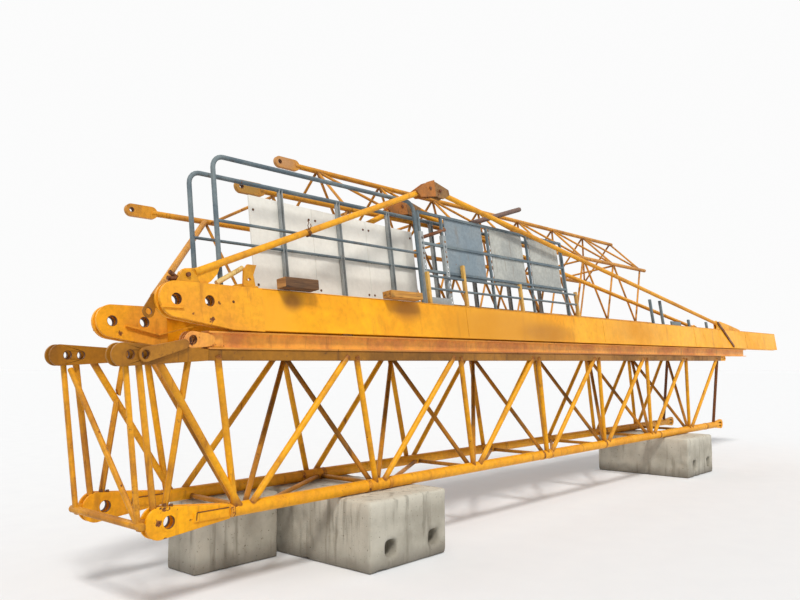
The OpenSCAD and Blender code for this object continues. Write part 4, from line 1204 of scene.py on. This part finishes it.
tubes("gusset_slot", rust_and_shadow_lines, [[(0.13, 0.023, 0.425), (0.31, 0.023, 0.487)]], 0.0035,
      "crane_paint", sides=6, place=jib)
cut_plates("tip_link_bar", [(belt(tie_tip, 0.03, (12.36, 0.04), 0.026), [], -0.019, -0.003)],
           raw_rust, "rusty_steel", place=jib)
left_fork = ((-0.34, -0.062), (-0.132, 0.067), (-0.001, 0.114), (-0.001, -0.078),
             (-0.268, -0.128))
right_fork = ((0.001, 0.105), (0.257, 0.042), (0.265, -0.016), (0.142, -0.084), (0.001, -0.072))
for word, shape, finish, gap in (("left", left_fork, fork_paint, 0.034),
                                 ("right", right_fork, old_fork_paint, 0.024)):
    plates = []
    for (apex_x, apex_w), v in apexes:
        plates += [([(apex_x + x, apex_w + w) for x, w in shape], [], low, high)
                   for low, high in leaves(v, gap)]
    cut_plates(f"{word}_apex_forks", plates, finish, "rusty_steel", "tie_apex_links",
               place=jib, edge=0.003)
plain_bars("apex_blocks", [((x - 0.05, v - 0.03, w - 0.06), (x + 0.05, v + 0.03, w + 0.085))
                           for (x, w), v in apexes], raw_rust, "rusty_steel", place=jib)
pins = [[(x + d, v - 0.058, w), (x + d, v + 0.058, w)] for (x, w), v in apexes
        for d in (-0.09, 0.09)]
pins += [[(x, v - 0.05, w), (x, v + 0.05, w)] for (x, w), v, foot in tie_feet]
tubes("tie_pins", rust_bars, pins, 0.018, "rusty_steel", sides=16, place=jib)
tubes("loose_pins", rust_bars, [[(-0.1, 0.03, 0.384), (0.03, 0.035, 0.384)],
                                [(-0.06, 0.075, 0.381), (0.07, 0.055, 0.378)],
                                [(-0.085, 0.02, 0.43), (0.0, 0.05, 0.39)]], 0.017,
      "rusty_steel", sides=12, place=jib)
cream_paint = weathered_paint("cream_paint", (226, 202, 142), (206, 170, 92),
                              (130, 92, 50), 0.6, 0.58, 2.6)
cream_tubes = tube_tree("cream_tubes", cream_paint)
tubes("leaning_bar", cream_tubes, [[(0.36, 0.062, 0.385), (0.63, 0.062, 0.535)]], 0.021,
      "crane_paint", sides=16, place=jib)
old_bar_paint = weathered_paint("old_bar_paint", (98, 76, 70), (122, 96, 84), rust_dark,
                                0.5, 0.6, 2.4)
old_bars = tube_tree("old_bars", old_bar_paint)
tubes("leaning_rail_bar", old_bars, [[(4.141, 0.16, 1.433), (5.38, 0.2, 1.81)]], 0.031,
      "rusty_steel", sides=8, place=jib)
twine_x, twine_w = 1.361, 0.922
twine_r = 0.034
twine_steps = 46
slope = math.atan2(near_apex[1] - tie_root[1], near_apex[0] - tie_root[0])
turns = []
for i in range(twine_steps):
    a = i * 0.42
    d = -0.014 + 0.0009 * i
    r = twine_r + 0.002 * math.sin(i * 1.7)
    turns.append((twine_x + d * math.cos(slope) - r * math.sin(a) * math.sin(slope),
                  near_tie_v + r * math.cos(a),
                  twine_w + d * math.sin(slope) + r * math.sin(a) * math.cos(slope)))
tubes("twine_round_tie", rust_and_shadow_lines,
      [turns, [(1.355, 0.0, 0.952), (1.345, -0.005, 0.985), (1.362, -0.004, 1.01),
               (1.352, 0.0, 1.03)],
       [(1.36, 0.0, 0.95), (1.385, -0.006, 0.978), (1.375, -0.01, 1.0)]], 0.004,
      "rusty_steel", sides=6, step=0.01, place=jib)

# Light section. A slender lattice of thin tubes in old ochre paint rests on timbers on the
# counter-jib, with three long chords that end in flat eyes, zigzag side lattices and cross
# bars. The eyes are stained, and the paint has failed first at the ends of the thin tubes.
light_v = (0.56, 1.66)
ridge_v = 1.11
timber_s = 0.1
light_chord_r = 0.03
bottom_w = girder_h + timber_s + light_chord_r
side_w = bottom_w + 0.98
ridge_w = side_w + 0.62
light_tube_r = 0.016
eyes = ((1.06, light_v[0], side_w), (0.57, light_v[1], side_w), (2.04, ridge_v, ridge_w))
light_paint = weathered_paint(
    "light_paint", (214, 148, 40), (186, 128, 54), (116, 76, 36), 0.7, 0.66, 1.8,
    patches=[(on_girder(1.13, side_w, light_v[0]), (0.24, 0.1, 0.11), (168, 128, 62), 1.0),
             (on_girder(2.11, ridge_w, ridge_v), (0.24, 0.1, 0.11), (190, 142, 96), 1.0)])
thin_paint = weathered_paint("thin_paint", (216, 148, 44), (188, 130, 58),
                             (116, 76, 36), 0.7, 0.6, 1.8, ends=True)
for node in ("light_near_chord", "light_far_chord", "light_ridge_chord",
             "light_bottom_chords"):
    softened(node, light_paint, 0.003)
zigzag_tubes = tube_tree("zigzag_tubes", thin_paint)
light_bay = 1.05
light_bays = 8
light_first = 1.42
light_x = [light_first + i * light_bay for i in range(light_bays + 1)]
runs = []
for v in light_v:
    for left, right in zip(light_x, light_x[1:]):
        middle = left + light_bay / 2
        runs += [[(left, v, side_w), (middle, v, bottom_w)],
                 [(middle, v, bottom_w), (right, v, side_w)]]
tubes("light_side_tubes", zigzag_tubes, runs, light_tube_r, "aged_paint", "light_side_lattice",
      sides=12, place=jib)
runs = []
for v in light_v:
    for i in range(1, light_bays + 1):
        top = (light_x[i] + 0.13, ridge_v, ridge_w)
        runs.append([top, (light_x[i], v, side_w)])
        if i < light_bays:
            runs.append([top, (light_x[i + 1], v, side_w)])
tubes("light_ridge_tubes", zigzag_tubes, runs, light_tube_r, "aged_paint", "light_ridge_lattice",
      sides=12, place=jib)
runs = [[(x + 0.07, v, w) for v in light_v] for x in light_x[:-1]
        for w in (side_w - 0.012, bottom_w - 0.008)]
tubes("light_cross_tubes", zigzag_tubes, runs, light_tube_r, "aged_paint", "light_cross_bars",
      sides=12, place=jib)

# Bores of the light section's eyes and the slanting front brace. The bores are bare and
# rusty inside. The brace is a single steel tube with a rusty, flame-cut eye at its foot.
brace_eye = (-0.235, 0.132)
brace_bore_r = 0.027
brace_leaf = (0.088, 0.102)
eye_bore_r = 0.025
eye_half = 0.0205
linings("eye_bore_linings", [(Vector(eye), across, eye_bore_r, -eye_half, 2 * eye_half)
                             for eye in eyes]
        + [(Vector((brace_eye[0], brace_leaf[0] - 0.0005, brace_eye[1])), across, brace_bore_r,
            0, 0.015)], "aged_paint", place=jib)
softened("front_brace", light_paint, 0.002, segments=1)
# The brace eye shares the upper ears' dark paint, dirt with painted shade in it.
cut_plates("brace_eye", [(belt(brace_eye, 0.048, (-0.183, 0.238), 0.03),
                          [(*brace_eye, brace_bore_r)], *brace_leaf)],
           dirty_and_shaded_ear_paint, "aged_paint", place=jib, edge=0.003)

# Timbers. Sawn softwood lies across the girders under the light section, and two baulks lie
# on the near girder. They have weathered brown, with open grain, and one baulk is paler. The
# other baulk's root-facing ends are a paler end grain that is also painted light, and its
# other faces a darker brown that is also painted shade.


def sawn_timber(name, pale_wood, dark_wood, grain_axis):
    finish, tree = new_finish(name)
    spot = put(tree, "ShaderNodeTexCoord").outputs["Object"]
    stretch = (1.2, 26.0, 26.0) if grain_axis == "x" else (26.0, 1.2, 26.0)
    grain = speckle(tree, spot, 1.6, 6.0, 0.65, stretch=stretch)
    wood = mixed(tree, ramp(tree, grain, 0.34, 0.66), pale_wood, dark_wood)
    blotch = speckle(tree, spot, 6.0, 4.0)
    wood = mixed(tree, ramp(tree, blotch, 0.5, 0.75, 0.0, 0.6), wood, (66, 52, 40))
    cracks = ramp(tree, speckle(tree, spot, 2.4, 3.0, 0.5, stretch=stretch), 0.58, 0.66)
    wood = mixed(tree, cracks, wood, (44, 34, 26))
    shaded(tree, wood, ramp(tree, grain, 0.3, 0.7, 0.78, 0.92),
           sum_of(tree, grain, cracks, "SUBTRACT"), 0.003, 0.6)
    return finish


weathered_and_shaded_baulk_wood = sawn_timber("weathered_and_shaded_baulk_wood", (120, 84, 52), (66, 44, 28), "x")
cross_wood = sawn_timber("cross_wood", (128, 98, 68), (84, 62, 44), "y")
lit_end_grain = sawn_timber("lit_end_grain", (186, 138, 78), (140, 98, 54), "y")
pale_wood = sawn_timber("pale_wood", (208, 150, 66), (168, 116, 52), "x")
timbers = softened("timber_packers", cross_wood, 0.006)
for finish in (weathered_and_shaded_baulk_wood, lit_end_grain, pale_wood):
    timbers.data.materials.append(finish)
near_edge = at(0, 0.06, 0).y
second_baulk = at(1.8, 0, 0).x
# Faces of the baulks on the near girder: the first baulk's root-facing ends take the lit end
# grain, painted light, and its other faces the darker wood with painted shade; the second baulk is
# pale all over.
for face in timbers.data.polygons:
    if face.center.y < near_edge:
        face.material_index = 2 if face.normal.x < -0.7 else 1
        if face.center.x > second_baulk:
            face.material_index = 3
